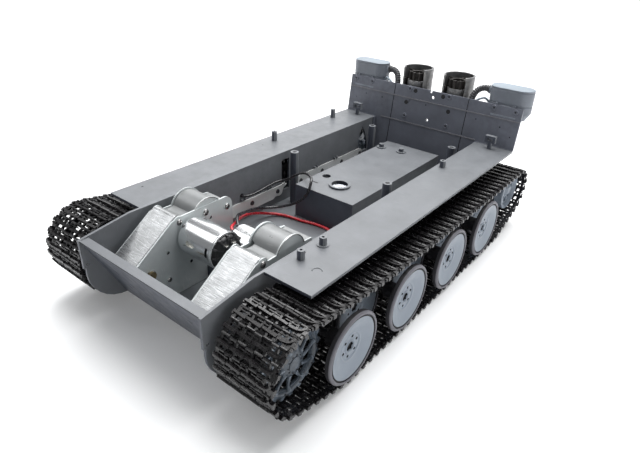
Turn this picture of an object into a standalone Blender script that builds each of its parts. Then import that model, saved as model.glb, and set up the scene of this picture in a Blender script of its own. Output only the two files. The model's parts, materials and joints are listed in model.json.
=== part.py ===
"""Tracked tank chassis: the lower hull of a 1/16-scale radio-controlled heavy tank.

All dimensions are in millimetres and are turned into metres where a mesh is made.
The front of the tank points along -Y, its left side along +X, and the tracks stand
on z = 0.  The names "left" and "right" are those of a driver who looks forward.
"""
import math

import bpy
import bmesh
from mathutils import Matrix, Vector

MM = 0.001
GAP = 0.3                       # clearance between pieces that touch on the real chassis

# hull tub
WALL_IN = 58.2                  # inner face of each side wall
WALL_OUT = 60.2                 # outer face of each side wall
SHEET = 2.0                     # wall thickness of the moulded tub
DECK_TOP = 73.3                 # upper face of the track guards
GUARD_EDGE = 95.5               # outer edge of the track guards
GUARD_FRONT, GUARD_REAR = -142.9, 155.3
FLOOR_TOP = 25.5
SUMP_TOP = 14.5                 # lower floor of the front compartment, under the gearboxes
SUMP_REAR = -112.0
FLOOR_REAR = 148.5
NOSE_FRONT, NOSE_TOP = -190.0, 67.5
NOSE_SLOPE = 0.503              # how far the nose plate runs back for each unit it drops
NOSE_STRIP = 6.5                # depth of the flat strip along the top of the nose
BOX_HALF_WIDTH = 30.0
BOX_FRONT, BOX_REAR, BOX_TOP = -9.8, 139.0, 56.0

# running gear
STATION_PITCH = 32.8
STATIONS = 8
FIRST_AXLE_Y, AXLE_Z = -119.0, 28.5
WHEEL_RADIUS = 24.75
PIVOT_BACK, PIVOT_UP = 17.4, 9.5
SPROCKET_Y, SPROCKET_Z = -161.8, 41.0
SPROCKET_TEETH = 20
TOOTH_ROOT, TOOTH_TIP = 22.6, 25.4
IDLER_Y, IDLER_Z = 153.3, 36.0
IDLER_RADIUS = 18.7
TRACK_IN, TRACK_OUT = 66.0, 110.0
TRACK_THICK = 3.2
TRACK_LINKS = 95
SPROCKET_WRAP, WHEEL_WRAP, IDLER_WRAP = 26.0, 25.3, 19.5
UPPER_RUN_Z = 55.5
UPPER_RUN_FADE = 60.0           # length over which the upper run comes down from the sprocket
SHAFT_RADIUS = 3.0

# gearboxes and motors
FRAME_IN, FRAME_OUT = 28.0, 51.5
PLATE = 1.2
HUMP, HUMP_RADIUS, DISC_RADIUS = (-109.6, 65.6), 13.2, 14.2        # (y, z) of the hump's centre
EAR = (-135.0, 70.5)            # (y, z) of the screw ear at the top of each ramp
TALL_PLATE = "right"            # this gearbox has the tall inner plate
MOTOR_RADIUS = 13.85
MOTOR_LENGTH = 35.0
FRONT_MOTOR = (-125.8, 58.0)    # (y, z) of the motor on the right-hand gearbox
REAR_MOTOR = (-96.8, 46.0)      # (y, z) of the motor on the left-hand gearbox
PINION_TEETH, GEAR_TEETH = 10, 18
MODULE = 1.0

# rear plate and what it carries
REAR_LEAN = math.radians(7.3)
REAR_Y, REAR_TOP, REAR_BOTTOM = 155.8, 111.4, 26.2
EXHAUST_X, EXHAUST_Y, EXHAUST_RADIUS, EXHAUST_TOP = 22.7, 175.5, 15.5, 128.5
FILTER_X, FILTER_Y, FILTER_TOP = 78.2, 173.6, 127.0
FILTER_LENGTH, FILTER_DEPTH = 41.0, 21.0

LEAD_RADIUS = 1.2
SIDES = {"left": 1, "right": -1}

COLOURS = {                     # name: (red, green, blue, roughness, metallic)
    "hull_grey": (0.27, 0.285, 0.30, 0.50, 0.0),
    "plate_grey": (0.14, 0.155, 0.185, 0.50, 0.0),
    "bare_steel": (0.66, 0.67, 0.68, 0.30, 1.0),
    "motor_steel": (0.74, 0.75, 0.76, 0.25, 1.0),
    "gear_brass": (0.66, 0.50, 0.24, 0.35, 1.0),
    "wheel_grey": (0.42, 0.50, 0.60, 0.45, 0.0),
    "sprocket_blue": (0.16, 0.26, 0.38, 0.45, 0.0),
    "track_black": (0.025, 0.024, 0.024, 0.55, 0.0),
    "exhaust_brown": (0.16, 0.14, 0.13, 0.55, 0.6),
    "filter_grey": (0.24, 0.29, 0.35, 0.50, 0.0),
    "arm_grey": (0.20, 0.21, 0.22, 0.55, 0.0),
    "lead_red": (0.62, 0.03, 0.04, 0.40, 0.0),
    "lead_black": (0.02, 0.02, 0.02, 0.45, 0.0),
}


# ---------------------------------------------------------------- scene helpers
for old in list(bpy.data.objects):
    bpy.data.objects.remove(old, do_unlink=True)


def collection(name):
    made = bpy.data.collections.new(name)
    bpy.context.scene.collection.children.link(made)
    return made


PARTS = collection("tracked_tank_chassis")
CUTTERS = collection("cutters")


def material(name):
    red, green, blue, roughness, metallic = COLOURS[name]
    made = bpy.data.materials.get(name) or bpy.data.materials.new(name)
    made.use_nodes = True
    shader = made.node_tree.nodes["Principled BSDF"]
    shader.inputs["Base Color"].default_value = (red, green, blue, 1.0)
    shader.inputs["Roughness"].default_value = roughness
    shader.inputs["Metallic"].default_value = metallic
    return made


def helper(mesh):
    """An object that only shapes another one; it is never part of the model."""
    made = bpy.data.objects.new("helper", mesh)
    CUTTERS.objects.link(made)
    made.hide_render = True
    made.display_type = "WIRE"
    return made


def node(name, obj, colour):
    """Make a helper object into a named sub-part with its own material."""
    CUTTERS.objects.unlink(obj)
    PARTS.objects.link(obj)
    obj.hide_render = False
    obj.display_type = "TEXTURED"
    obj.name = name
    obj.data.name = name
    obj.data.materials.clear()
    obj.data.materials.append(material(colour))
    obj.data.shade_smooth()
    obj.data.set_sharp_from_angle(angle=math.radians(30))
    return obj


def finished_mesh(build):
    """Run a bmesh building function and keep what it makes, in metres."""
    bm = bmesh.new()
    build(bm)
    bmesh.ops.scale(bm, vec=(MM, MM, MM), verts=bm.verts)
    mesh = bpy.data.meshes.new("shape")
    bm.to_mesh(mesh)
    bm.free()
    return mesh


def box(low, high):
    size = Vector(high) - Vector(low)
    middle = (Vector(high) + Vector(low)) / 2
    matrix = Matrix.Translation(middle) @ Matrix.Diagonal(size.to_4d())
    matrix[3][3] = 1.0
    return helper(finished_mesh(lambda bm: bmesh.ops.create_cube(bm, size=1.0, matrix=matrix)))


def rod(start, end, radius, segments=12, end_radius=None):
    """A round bar, or a cone, from one point to another."""
    start, end = Vector(start), Vector(end)
    along = end - start
    turn = Vector((0, 0, 1)).rotation_difference(along).to_matrix().to_4x4()
    matrix = Matrix.Translation((start + end) / 2) @ turn
    return helper(finished_mesh(lambda bm: bmesh.ops.create_cone(
        bm, cap_ends=True, segments=segments, radius1=radius,
        radius2=radius if end_radius is None else end_radius,
        depth=along.length, matrix=matrix)))


def cross_rod(y, z, x0, x1, radius, segments=12):
    """A round bar along X."""
    return rod((min(x0, x1), y, z), (max(x0, x1), y, z), radius, segments)


def upright(x, y, z0, z1, radius, segments=12):
    return rod((x, y, z0), (x, y, z1), radius, segments)


def outline_solid(outlines, thickness, turn):
    """A flat outline, with holes where later outlines lie in the first, made thick.

    The outline lies in the local XY plane and is centred on it; turn places it.
    """
    curve = bpy.data.curves.new("outline", "CURVE")
    curve.dimensions = "2D"
    curve.fill_mode = "BOTH"
    curve.extrude = thickness * MM / 2
    for outline in outlines:
        spline = curve.splines.new("POLY")
        spline.points.add(len(outline) - 1)
        for point, (u, v) in zip(spline.points, outline):
            point.co = (u * MM, v * MM, 0.0, 1.0)
        spline.use_cyclic_u = True
    return mesh_from_curve(curve, turn)


def mesh_from_curve(curve, turn):
    holder = bpy.data.objects.new("holder", curve)
    bpy.context.scene.collection.objects.link(holder)
    bpy.context.view_layer.update()
    evaluated = holder.evaluated_get(bpy.context.evaluated_depsgraph_get())
    mesh = bpy.data.meshes.new_from_object(evaluated)
    bpy.data.objects.remove(holder)
    bm = bmesh.new()
    bm.from_mesh(mesh)
    bmesh.ops.remove_doubles(bm, verts=bm.verts, dist=1e-6)
    bmesh.ops.recalc_face_normals(bm, faces=bm.faces)
    bm.to_mesh(mesh)
    bm.free()
    mesh.transform(turn)
    return helper(mesh)


SIDEWAYS = Matrix(((0, 0, 1, 0), (1, 0, 0, 0), (0, 1, 0, 0), (0, 0, 0, 1)))


def side_solid(outlines, x0, x1):
    """An outline drawn in (y, z), standing between two planes of constant x."""
    middle = Matrix.Translation(((x0 + x1) / 2 * MM, 0, 0))
    return outline_solid(outlines, abs(x1 - x0), middle @ SIDEWAYS)


def plan_solid(outlines, z0, z1):
    """An outline drawn in (x, y), lying between two heights."""
    return outline_solid(outlines, z1 - z0, Matrix.Translation((0, 0, (z0 + z1) / 2 * MM)))


def turned(profile, segments, closed=False):
    """A body of revolution about X from (x, radius) pairs, first pair at the largest x."""
    points = [Vector((radius * MM, 0, x * MM)) for x, radius in profile]
    count = len(points)
    edges = [(i, i + 1) for i in range(count - 1)]
    if closed:
        edges.append((count - 1, 0))
    mesh = bpy.data.meshes.new("profile")
    mesh.from_pydata(points, edges, [])
    made = helper(mesh)
    screw = made.modifiers.new("turn", "SCREW")
    screw.axis = "Z"
    screw.steps = segments
    screw.render_steps = segments
    screw.use_merge_vertices = True
    screw.merge_threshold = 0.00001
    screw.use_smooth_shade = True
    made.rotation_euler = (0, math.pi / 2, 0)
    return made


def combine(obj, operation, others):
    """Join other solids to a body, or cut them out of it."""
    group = bpy.data.collections.new(operation.lower())
    CUTTERS.children.link(group)
    for other in others:
        CUTTERS.objects.unlink(other)
        group.objects.link(other)
    change = obj.modifiers.new(operation.lower(), "BOOLEAN")
    change.operation = operation
    change.solver = "EXACT"
    change.operand_type = "COLLECTION"
    change.collection = group
    return obj


def join(obj, others):
    return combine(obj, "UNION", others)


def cut(obj, others):
    return combine(obj, "DIFFERENCE", others)


def arc(centre, radius, start, end, steps):
    """Points on a circle from one angle to another, in degrees."""
    angles = [math.radians(start + (end - start) * i / steps) for i in range(steps + 1)]
    return [(centre[0] + radius * math.cos(a), centre[1] + radius * math.sin(a)) for a in angles]


def smooth_route(points, spacing):
    """A Catmull-Rom curve through the given points, sampled about every spacing."""
    rows = [Vector(p) for p in points]
    rows = [rows[0] * 2 - rows[1]] + rows + [rows[-1] * 2 - rows[-2]]
    route = []
    for a, b, c, d in zip(rows, rows[1:], rows[2:], rows[3:]):
        steps = max(1, round((c - b).length / spacing))
        for i in range(steps):
            t = i / steps
            route.append(0.5 * (2 * b + (c - a) * t + (2 * a - 5 * b + 4 * c - d) * t ** 2
                                + (3 * b - a - 3 * c + d) * t ** 3))
    route.append(rows[-2])
    return route


def tube_curve(points, radius, resolution=2):
    curve = bpy.data.curves.new("route", "CURVE")
    curve.dimensions = "3D"
    curve.bevel_depth = radius * MM
    curve.bevel_resolution = resolution
    curve.use_fill_caps = True
    spline = curve.splines.new("POLY")
    spline.points.add(len(points) - 1)
    for point, place in zip(spline.points, points):
        point.co = (place[0] * MM, place[1] * MM, place[2] * MM, 1.0)
    return curve


def gear_outline(teeth, root, tip):
    """Trapezoid teeth on a round body; a tooth is centred on the first angle."""
    points = []
    for i in range(teeth):
        for share, radius in ((-0.30, root), (-0.13, tip), (0.13, tip), (0.30, root)):
            angle = 2 * math.pi * (i + share) / teeth
            points.append((radius * math.cos(angle), radius * math.sin(angle)))
    return points


# ---------------------------------------------------------------- hull tub
def axle_y(station):
    return FIRST_AXLE_Y + STATION_PITCH * station


def wall_outline():
    lobe = arc((SPROCKET_Y, SPROCKET_Z), 27.5, 170, 270, 8)
    return ([(GUARD_REAR, DECK_TOP), (-151.4, DECK_TOP), (-190.5, NOSE_TOP), (-190.5, 46.0)]
            + lobe + [(-122.0, SPROCKET_Z - 27.5), (SUMP_REAR - 2, FLOOR_TOP - SHEET),
                      (GUARD_REAR, FLOOR_TOP - SHEET)])


def nose_outline():
    drop = NOSE_TOP - (SUMP_TOP - SHEET)
    back = NOSE_SLOPE * drop
    inner = NOSE_FRONT + 4.7
    return [(NOSE_FRONT, NOSE_TOP), (NOSE_FRONT + NOSE_STRIP, NOSE_TOP),
            (NOSE_FRONT + NOSE_STRIP, NOSE_TOP - 2.5), (inner, NOSE_TOP - 2.5),
            (inner + NOSE_SLOPE * (drop - 2.5), SUMP_TOP - SHEET),
            (NOSE_FRONT + back, SUMP_TOP - SHEET)]


def arch_outline():
    """The pointed opening near the rear end of each wall."""
    return [(125.0, 39.0), (143.0, 39.0), (142.0, 48.0), (138.0, 58.0), (132.5, 67.0),
            (128.0, 60.0), (125.0, 50.0)]


def wall_side(side):
    x0, x1 = side * WALL_IN, side * WALL_OUT
    pieces = [
        side_solid([wall_outline()], x0, x1),
        box((min(side * 59.2, side * GUARD_EDGE), GUARD_FRONT, DECK_TOP - SHEET),
            (max(side * 59.2, side * GUARD_EDGE), GUARD_REAR, DECK_TOP)),
        cross_rod(SPROCKET_Y, SPROCKET_Z, side * 59.2, side * 61.6, 13.0, 20),
        cross_rod(IDLER_Y - 1.6, IDLER_Z, side * 59.2, side * 61.6, 7.0, 16),
        cross_rod(IDLER_Y, IDLER_Z, side * 60.0, side * 72.0, SHAFT_RADIUS),
        upright(side * 76.0, 146.5, 72.6, 81.0, 2.0),
        box((side * 76.0 - 5.0, 144.5, 79.5), (side * 76.0 + 5.0, 148.5, 86.0)),
        upright(side * 48.5, 9.8, 24.8, 75.0, 3.8),
        upright(side * 45.5, 131.2, 24.8, 71.0, 3.8),
    ]
    reach = (side * (WALL_IN - 1), side * 62.5)
    cutters = [
        box((min(reach), 3.5, 36.0), (max(reach), 13.5, 66.0)),
        side_solid([arch_outline()], *reach),
        cross_rod(SPROCKET_Y, SPROCKET_Z, *reach, SHAFT_RADIUS + 0.4),
        cross_rod(-187.4, 48.4, *reach, 1.1, 8),
        upright(side * 48.5, 9.8, 62.0, 76.0, 1.9, 8),
        upright(side * 45.5, 131.2, 58.0, 72.0, 1.9, 8),
        box((side * 76.0 - 2.6, 143.5, 81.6), (side * 76.0 + 2.6, 149.5, 84.2)),
    ]
    cutters += [cross_rod(axle_y(i) + PIVOT_BACK, AXLE_Z + PIVOT_UP, *reach, 2.3, 8)
                for i in range(STATIONS)]
    return pieces, cutters


LEAD_HOLES = {"left": (-31.0, 27.2), "right": (-47.0, 48.5)}       # (y, z) in each side wall
DECK_POSTS = ((67.0, -118.0, 6.5), (67.0, -96.4, 6.0), (64.0, 74.0, 6.0),
              (-84.5, 22.3, 9.0), (-88.0, 118.0, 9.0))             # (x, y, height)


def hull_tub():
    tub = box((-58.8, SUMP_REAR - 1, FLOOR_TOP - SHEET), (58.8, FLOOR_REAR, FLOOR_TOP))
    nose_back = NOSE_FRONT + NOSE_SLOPE * (NOSE_TOP - SUMP_TOP + SHEET)
    pieces = [
        box((-58.8, nose_back + 1, SUMP_TOP - SHEET), (58.8, SUMP_REAR, SUMP_TOP)),
        box((-58.8, SUMP_REAR - SHEET, SUMP_TOP - SHEET), (58.8, SUMP_REAR, FLOOR_TOP)),
        side_solid([nose_outline()], -58.8, 58.8),
        box((-BOX_HALF_WIDTH, BOX_FRONT, FLOOR_TOP - 1), (BOX_HALF_WIDTH, BOX_REAR, BOX_TOP)),
        upright(0, 13.3, BOX_TOP - 1, BOX_TOP + 1.6, 9.5, 24),
        upright(-24.5, 118.5, BOX_TOP - 1, BOX_TOP + 1.0, 5.0),
        upright(-24.5, 118.5, BOX_TOP - 1, BOX_TOP + 4.0, 2.6),
        upright(-2.5, 120.5, BOX_TOP - 1, BOX_TOP + 1.0, 5.0),
        upright(-2.5, 120.5, BOX_TOP - 1, BOX_TOP + 4.0, 2.6),
    ]
    inner = SHEET
    cutters = [
        box((-BOX_HALF_WIDTH + inner, BOX_FRONT + inner, 20.0),
            (BOX_HALF_WIDTH - inner, BOX_REAR - inner, BOX_TOP - inner)),
        upright(0, 13.3, 50.0, 60.0, 7.2, 24),
        upright(-21.0, 22.0, 50.0, 60.0, 3.9, 16),
    ]
    for side in SIDES.values():
        more, less = wall_side(side)
        pieces += more
        cutters += less
    for x, y, height in DECK_POSTS:
        pieces.append(upright(x, y, DECK_TOP - 1, DECK_TOP + height, 2.6, 10))
        cutters.append(upright(x, y, DECK_TOP + 1, DECK_TOP + height + 1, 1.0, 6))
    for name, (y, z) in LEAD_HOLES.items():
        side = SIDES[name]
        cutters.append(cross_rod(y, z, side * (WALL_IN - 1), side * 62.5, 2.2, 8))
    join(tub, pieces)
    cut(tub, cutters)
    return node("hull_tub", tub, "hull_grey")


# ---------------------------------------------------------------- rear plate
def lean(x, height, back):
    """A point given by its height on the leaning rear plate and its distance behind the face."""
    rise = height - DECK_TOP
    return (x, REAR_Y + rise * math.tan(REAR_LEAN) + back, height)


def rear_plate():
    wide, narrow, step = GUARD_EDGE, WALL_IN - 0.5, DECK_TOP + GAP
    outline = [(-wide, step), (-narrow, step), (-narrow, REAR_BOTTOM), (narrow, REAR_BOTTOM),
               (narrow, step), (wide, step), (wide, REAR_TOP), (-wide, REAR_TOP)]
    local = [(x, (z - DECK_TOP) / math.cos(REAR_LEAN)) for x, z in outline]
    stand = (Matrix.Translation((0, (REAR_Y + SHEET / 2) * MM, DECK_TOP * MM))
             @ Matrix.Rotation(math.pi / 2 - REAR_LEAN, 4, "X"))
    plate = outline_solid([local], SHEET, stand)
    holes = [(4.7, 105.0, 1.6), (2.7, 82.0, 1.6), (-24.0, 95.0, 2.3), (24.0, 95.0, 2.3),
             (-15.5, 108.0, 2.3), (15.5, 108.0, 2.3)]
    cut(plate, [rod(lean(x, z, -4), lean(x, z, 6), radius, 8) for x, z, radius in holes])
    return node("rear_plate", plate, "plate_grey")


def exhaust(name, side):
    """A shield open towards the plate, round a pipe that stands on a cast foot."""
    x, y = side * EXHAUST_X, EXHAUST_Y
    opening = 50
    outer = arc((x, y), EXHAUST_RADIUS, opening - 90, 270 - opening, 16)
    inner = arc((x, y), EXHAUST_RADIUS - 1.2, 270 - opening, opening - 90, 16)
    shield = plan_solid([outer + inner], 66.0, EXHAUST_TOP)
    foot_face = lean(x, 68.0, SHEET + GAP)[1]
    join(shield, [
        upright(x, y, 58.0, 70.0, EXHAUST_RADIUS - 0.4, 20),
        box((x - 9.0, foot_face, 58.0), (x + 9.0, y, 68.0)),
        upright(x, y, 65.0, 122.0, 7.4, 16),
    ])
    cut(shield, [upright(x, y, 108.0, 124.0, 6.0, 16)])
    return node("exhaust_" + name, shield, "exhaust_brown")


def air_filter(name, side):
    """An oval drum with a bevelled bottom, its bracket and its hose elbow."""
    half = (FILTER_LENGTH - FILTER_DEPTH) / 2
    radius = FILTER_DEPTH / 2
    x, y = side * FILTER_X, FILTER_Y
    ends = arc((x + half, y), radius, -90, 90, 8) + arc((x - half, y), radius, 90, 270, 8)
    drum = plan_solid([ends], 104.0, FILTER_TOP)
    small = radius - 3.5
    lower = (arc((x + half, y), small, -90, 90, 6) + arc((x - half, y), small, 90, 270, 6))
    bracket = lean(x, 100.0, SHEET + 0.8)[1]
    inner_end = side * (FILTER_X - FILTER_LENGTH / 2 + 1.0)
    hose_points = smooth_route([(inner_end, y, 120.5), (side * 52.0, y, 121.4),
                                (side * 46.0, y - 1.6, 119.0), (side * 42.6, y - 4.2, 113.0),
                                (side * 42.0, y - 5.4, 105.0)], 4.0)
    hose = mesh_from_curve(tube_curve(hose_points, 3.2), Matrix.Identity(4))
    join(drum, [
        plan_solid([lower], 98.0, 104.6),
        box((x - 12.0, bracket, 98.5), (x + 12.0, y, 103.0)),
        hose,
    ])
    return node("air_filter_" + name, drum, "filter_grey")


# ---------------------------------------------------------------- gearboxes and motors
def cover_path():
    """The bent sheet over a gearbox, from the nose backwards, in (y, z)."""
    crest = arc((-136.2, 70.2), 4.8, 127, 42, 4)
    hump = arc(HUMP, HUMP_RADIUS, 158, 17, 10)
    return ([(-172.5, 51.0)] + crest + [(-129.2, 70.9), (-127.2, 70.1), (-122.8, 70.1)]
            + hump + [(-95.4, 69.0), (-88.2, 68.9)])


def gearbox_cover(name, side):
    path = cover_path()
    low, high = side * (FRAME_IN + 0.2), side * (FRAME_OUT - 0.9)
    corners = [(low, y, z) for y, z in path] + [(high, y, z) for y, z in path]
    count = len(path)
    faces = [(i, i + 1, count + i + 1, count + i) for i in range(count - 1)]
    mesh = bpy.data.meshes.new("cover")
    mesh.from_pydata([Vector(c) * MM for c in corners], [], faces)
    cover = helper(mesh)
    sheet = cover.modifiers.new("sheet", "SOLIDIFY")
    sheet.thickness = 0.9 * MM
    sheet.offset = 1.0 if side < 0 else -1.0
    sheet.use_even_offset = True
    return node("gearbox_cover_" + name, cover, "bare_steel")


def frame_outline(tall):
    """A side plate: ramp edge, screw ear, then a straight top or the disc that ends the hump."""
    if tall:
        top = arc(EAR, 4.4, 140, 60, 4) + [(-98.6, 74.6)] + arc((-94.0, 67.4), 7.4, 96, -8, 5)
    else:
        top = (arc(EAR, 4.4, 140, 6, 6) + [(-129.6, 71.0), (-122.6, 71.0)]
               + arc(HUMP, DISC_RADIUS, 156, 17, 10) + [(-88.4, 69.2)])
    return ([(-172.3, 50.6), (-141.0, 72.6)] + top
            + [(-86.5, 60.0), (-86.5, FLOOR_TOP + GAP),
               (SUMP_REAR - SHEET - GAP, FLOOR_TOP + GAP),
               (SUMP_REAR - SHEET - GAP, SUMP_TOP + GAP), (-156.0, SUMP_TOP + GAP)])


def gearbox_frame(name, side, motor):
    """Two side plates held apart by round pillars, with a disc at each end of the hump."""
    tall = name == TALL_PLATE
    inner = side_solid([frame_outline(tall)], side * (FRAME_IN - PLATE), side * FRAME_IN)
    outer = side_solid([frame_outline(False)], side * FRAME_OUT, side * (FRAME_OUT - 0.8))
    pillars = [cross_rod(y, z, side * (FRAME_IN - 0.6), side * (FRAME_OUT - 0.4), 2.2, 8)
               for y, z in ((-112.5, 62.0), (-93.0, 64.0), (-137.0, 30.0), (-92.0, 30.0))]
    if tall:
        disc = [arc(HUMP, DISC_RADIUS, 180, 0, 12)]
        pillars.append(side_solid(disc, side * (FRAME_IN - 0.7), side * FRAME_IN))
    join(inner, [outer] + pillars)
    cut(inner, [cross_rod(motor[0], motor[1], side * 24.0, side * 30.0, 5.4, 12),
                cross_rod(SPROCKET_Y, SPROCKET_Z, side * 24.0, side * 56.0, 3.4, 12)])
    return node("gearbox_frame_" + name, inner, "bare_steel")


def drive_motor(name, side, motor):
    """Can, black end cap and the round boss that centres the motor in its plate."""
    face = FRAME_IN - PLATE - GAP
    profile = [(FRAME_IN + 1.0, 0), (FRAME_IN + 1.0, 5.0), (face, 5.0), (face, MOTOR_RADIUS - 1.2),
               (face - 1.2, MOTOR_RADIUS), (face - MOTOR_LENGTH, MOTOR_RADIUS),
               (face - MOTOR_LENGTH, 11.6), (face - MOTOR_LENGTH - 3.0, 11.6),
               (face - MOTOR_LENGTH - 3.0, 0)]
    body = turned(profile, 24)
    if side < 0:
        body.rotation_euler = (0, -math.pi / 2, 0)
    body.location = (0, motor[0] * MM, motor[1] * MM)
    return node("drive_motor_" + name, body, "motor_steel")


def gear_ring(teeth, root, tip, x0, x1, y, z, side):
    outline = [(y + u, z + v) for u, v in gear_outline(teeth, root, tip)]
    return side_solid([outline], side * x0, side * x1)


def centre_on(obj, y, z):
    """Move an object's origin onto the axis (y, z) and leave its shape where it is."""
    shift = Matrix.Translation((0, y * MM, z * MM))
    for member in [obj] + [o for m in obj.modifiers if m.type == "BOOLEAN"
                           for o in m.collection.objects]:
        member.data.transform(shift.inverted())
        member.matrix_basis = shift @ member.matrix_basis
    return obj


def motor_pinion(name, side, motor):
    radius = MODULE * PINION_TEETH / 2
    gear = gear_ring(PINION_TEETH, radius - 1.1, radius + 0.8, FRAME_IN + 1.4, FRAME_IN + 9.0,
                     motor[0], motor[1], side)
    join(gear, [cross_rod(motor[0], motor[1], side * (FRAME_IN + 1.3), side * (FRAME_IN + 11.5),
                          1.2, 8)])
    centre_on(gear, *motor)
    return node("motor_pinion_" + name, gear, "gear_brass")


def output_gear(name, side):
    """The last gear of the gearbox, on the shaft that turns the sprocket."""
    radius = MODULE * GEAR_TEETH / 2
    gear = gear_ring(GEAR_TEETH, radius - 1.2, radius + 0.6, FRAME_IN + 6.0, FRAME_IN + 14.0,
                     SPROCKET_Y, SPROCKET_Z, side)
    join(gear, [cross_rod(SPROCKET_Y, SPROCKET_Z, side * 24.5, side * 62.0, SHAFT_RADIUS)])
    centre_on(gear, SPROCKET_Y, SPROCKET_Z)
    return node("output_gear_" + name, gear, "gear_brass")


# ---------------------------------------------------------------- running gear
def sprocket(name, side):
    """Two toothed rings on a drum, the outer one dished round a small hub cap."""
    x_hub = 62.3
    profile = [(101.5, 0), (101.5, 6.5), (98.5, 10.0), (98.5, 21.0), (96.0, 21.0), (92.0, 12.5),
               (80.0, 12.5), (76.0, 21.0), (73.5, 21.0), (73.5, 9.0), (x_hub, 9.0), (x_hub, 0)]
    drum = turned(profile, 20)
    if side < 0:
        drum.rotation_euler = (0, -math.pi / 2, 0)
    rings = [side_solid([gear_outline(SPROCKET_TEETH, TOOTH_ROOT, TOOTH_TIP)],
                        side * x0, side * x1) for x0, x1 in ((73.9, 75.6), (96.4, 98.1))]
    join(drum, rings)
    for member in [drum] + rings:
        member.location = (0, SPROCKET_Y * MM, SPROCKET_Z * MM)
    return node("sprocket_" + name, drum, "sprocket_blue")


def placed_turned(name, profile, segments, closed, side, y, z, colour):
    body = turned(profile, segments, closed)
    if side < 0:
        body.rotation_euler = (0, -math.pi / 2, 0)
    body.location = (0, y * MM, z * MM)
    return node(name, body, colour)


def idler(name, side):
    """Two discs on one hub that turns on a stub fixed to the hull wall."""
    bore = SHAFT_RADIUS + GAP
    profile = [(102.0, 0), (102.0, 5.0), (98.0, 6.0), (102.0, IDLER_RADIUS), (94.0, IDLER_RADIUS),
               (94.0, 6.5), (74.0, 6.5), (74.0, IDLER_RADIUS), (67.5, IDLER_RADIUS), (67.5, 6.5),
               (64.0, 6.5), (64.0, bore), (72.6, bore), (72.6, 0)]
    return placed_turned("idler_" + name, profile, 24, False, side, IDLER_Y, IDLER_Z,
                         "wheel_grey")


def is_outer(station):
    return station % 2 == 0


OUTER_HUB, INNER_HUB = 93.0, 76.0       # x at which the axle enters the two kinds of wheel


def road_wheel(name, side, station):
    """A dished disc with a narrow rim; the blind bore faces the hull."""
    bore = 2.5 + GAP
    if is_outer(station):
        face, rim, hub, deep = 111.7, 107.2, OUTER_HUB, 100.5
    else:
        face, rim, hub, deep = 92.0, 87.5, INNER_HUB, 84.0
    profile = [(face - 3.6, 0), (face, 18.5), (face, WHEEL_RADIUS),
               (rim, WHEEL_RADIUS), (rim, 6.0), (hub, 6.0), (hub, bore), (deep, bore), (deep, 0)]
    return placed_turned(name, profile, 20, False, side, axle_y(station), AXLE_Z, "wheel_grey")


def swing_arm(name, side, station):
    """A flat arm with the pin it swings on and the axle that its wheel turns on."""
    y, z = axle_y(station), AXLE_Z
    pivot_y, pivot_z = y + PIVOT_BACK, z + PIVOT_UP
    tip = (99.5 if is_outer(station) else 83.0)
    angle = math.degrees(math.atan2(PIVOT_UP, PIVOT_BACK))
    ends = (arc((pivot_y, pivot_z), 4.0, angle - 90, angle + 90, 5)
            + arc((y, z), 3.6, angle + 90, angle + 270, 5))
    arm = side_solid([ends], side * (WALL_OUT + GAP), side * (WALL_OUT + 4.3))
    join(arm, [cross_rod(pivot_y, pivot_z, side * 56.4, side * (WALL_OUT + 3.0), 2.0, 8),
               cross_rod(y, z, side * (WALL_OUT + 1.0), side * tip, 2.5, 8)])
    centre_on(arm, pivot_y, pivot_z)
    return node(name, arm, "arm_grey")


# ---------------------------------------------------------------- tracks
def tangent(centre_a, radius_a, centre_b, radius_b):
    """Angle of the outer normal of the belt line that leaves circle a for circle b."""
    gap = Vector(centre_b) - Vector(centre_a)
    heading = math.atan2(gap.y, gap.x)
    return math.degrees(heading - math.pi / 2 - math.asin((radius_a - radius_b) / gap.length)
                        + 2 * math.asin((radius_a - radius_b) / gap.length))


def inner_line():
    """The line that the inside of the track follows, counter-clockwise from the idler's top."""
    sprocket_c, idler_c = (SPROCKET_Y, SPROCKET_Z), (IDLER_Y, IDLER_Z)
    first, last = (axle_y(0), AXLE_Z), (axle_y(STATIONS - 1), AXLE_Z)
    upper = []
    start = IDLER_Y - 3.0
    end = SPROCKET_Y + 6.0
    for i in range(41):
        y = start + (end - start) * i / 40
        upper.append((y, UPPER_RUN_Z + 11.5 * math.exp(-(y - SPROCKET_Y) / UPPER_RUN_FADE)))
    front = tangent(sprocket_c, SPROCKET_WRAP, first, WHEEL_WRAP)
    rear = tangent(last, WHEEL_WRAP, idler_c, IDLER_WRAP)
    return (upper
            + arc(sprocket_c, SPROCKET_WRAP, 82, 360 + front, 40)
            + arc(first, WHEEL_WRAP, 360 + front, 270, 8)
            + arc(last, WHEEL_WRAP, 270, 360 + rear, 8)
            + arc(idler_c, IDLER_WRAP, rear, 88, 30))


def even_points(line, count):
    """Walk round a closed line and set down points that are equally far apart."""
    rows = [Vector(p) for p in line]
    rows.append(rows[0])
    lengths = [(b - a).length for a, b in zip(rows, rows[1:])]
    step = sum(lengths) / count
    made, done, index = [], 0.0, 0
    for i in range(count):
        target = i * step
        while done + lengths[index] < target:
            done += lengths[index]
            index += 1
        share = (target - done) / lengths[index]
        made.append(rows[index].lerp(rows[index + 1], share))
    return made, step


def offset_loop(points, distance):
    """Move every side of a counter-clockwise loop outwards by the same distance."""
    made = []
    count = len(points)
    for i, here in enumerate(points):
        before = (here - points[i - 1]).normalized()
        after = (points[(i + 1) % count] - here).normalized()
        normal = Vector((before.y + after.y, -before.x - after.x)).normalized()
        made.append(here + normal * distance / max(0.5, normal.dot(Vector((before.y, -before.x)))))
    return made


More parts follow.
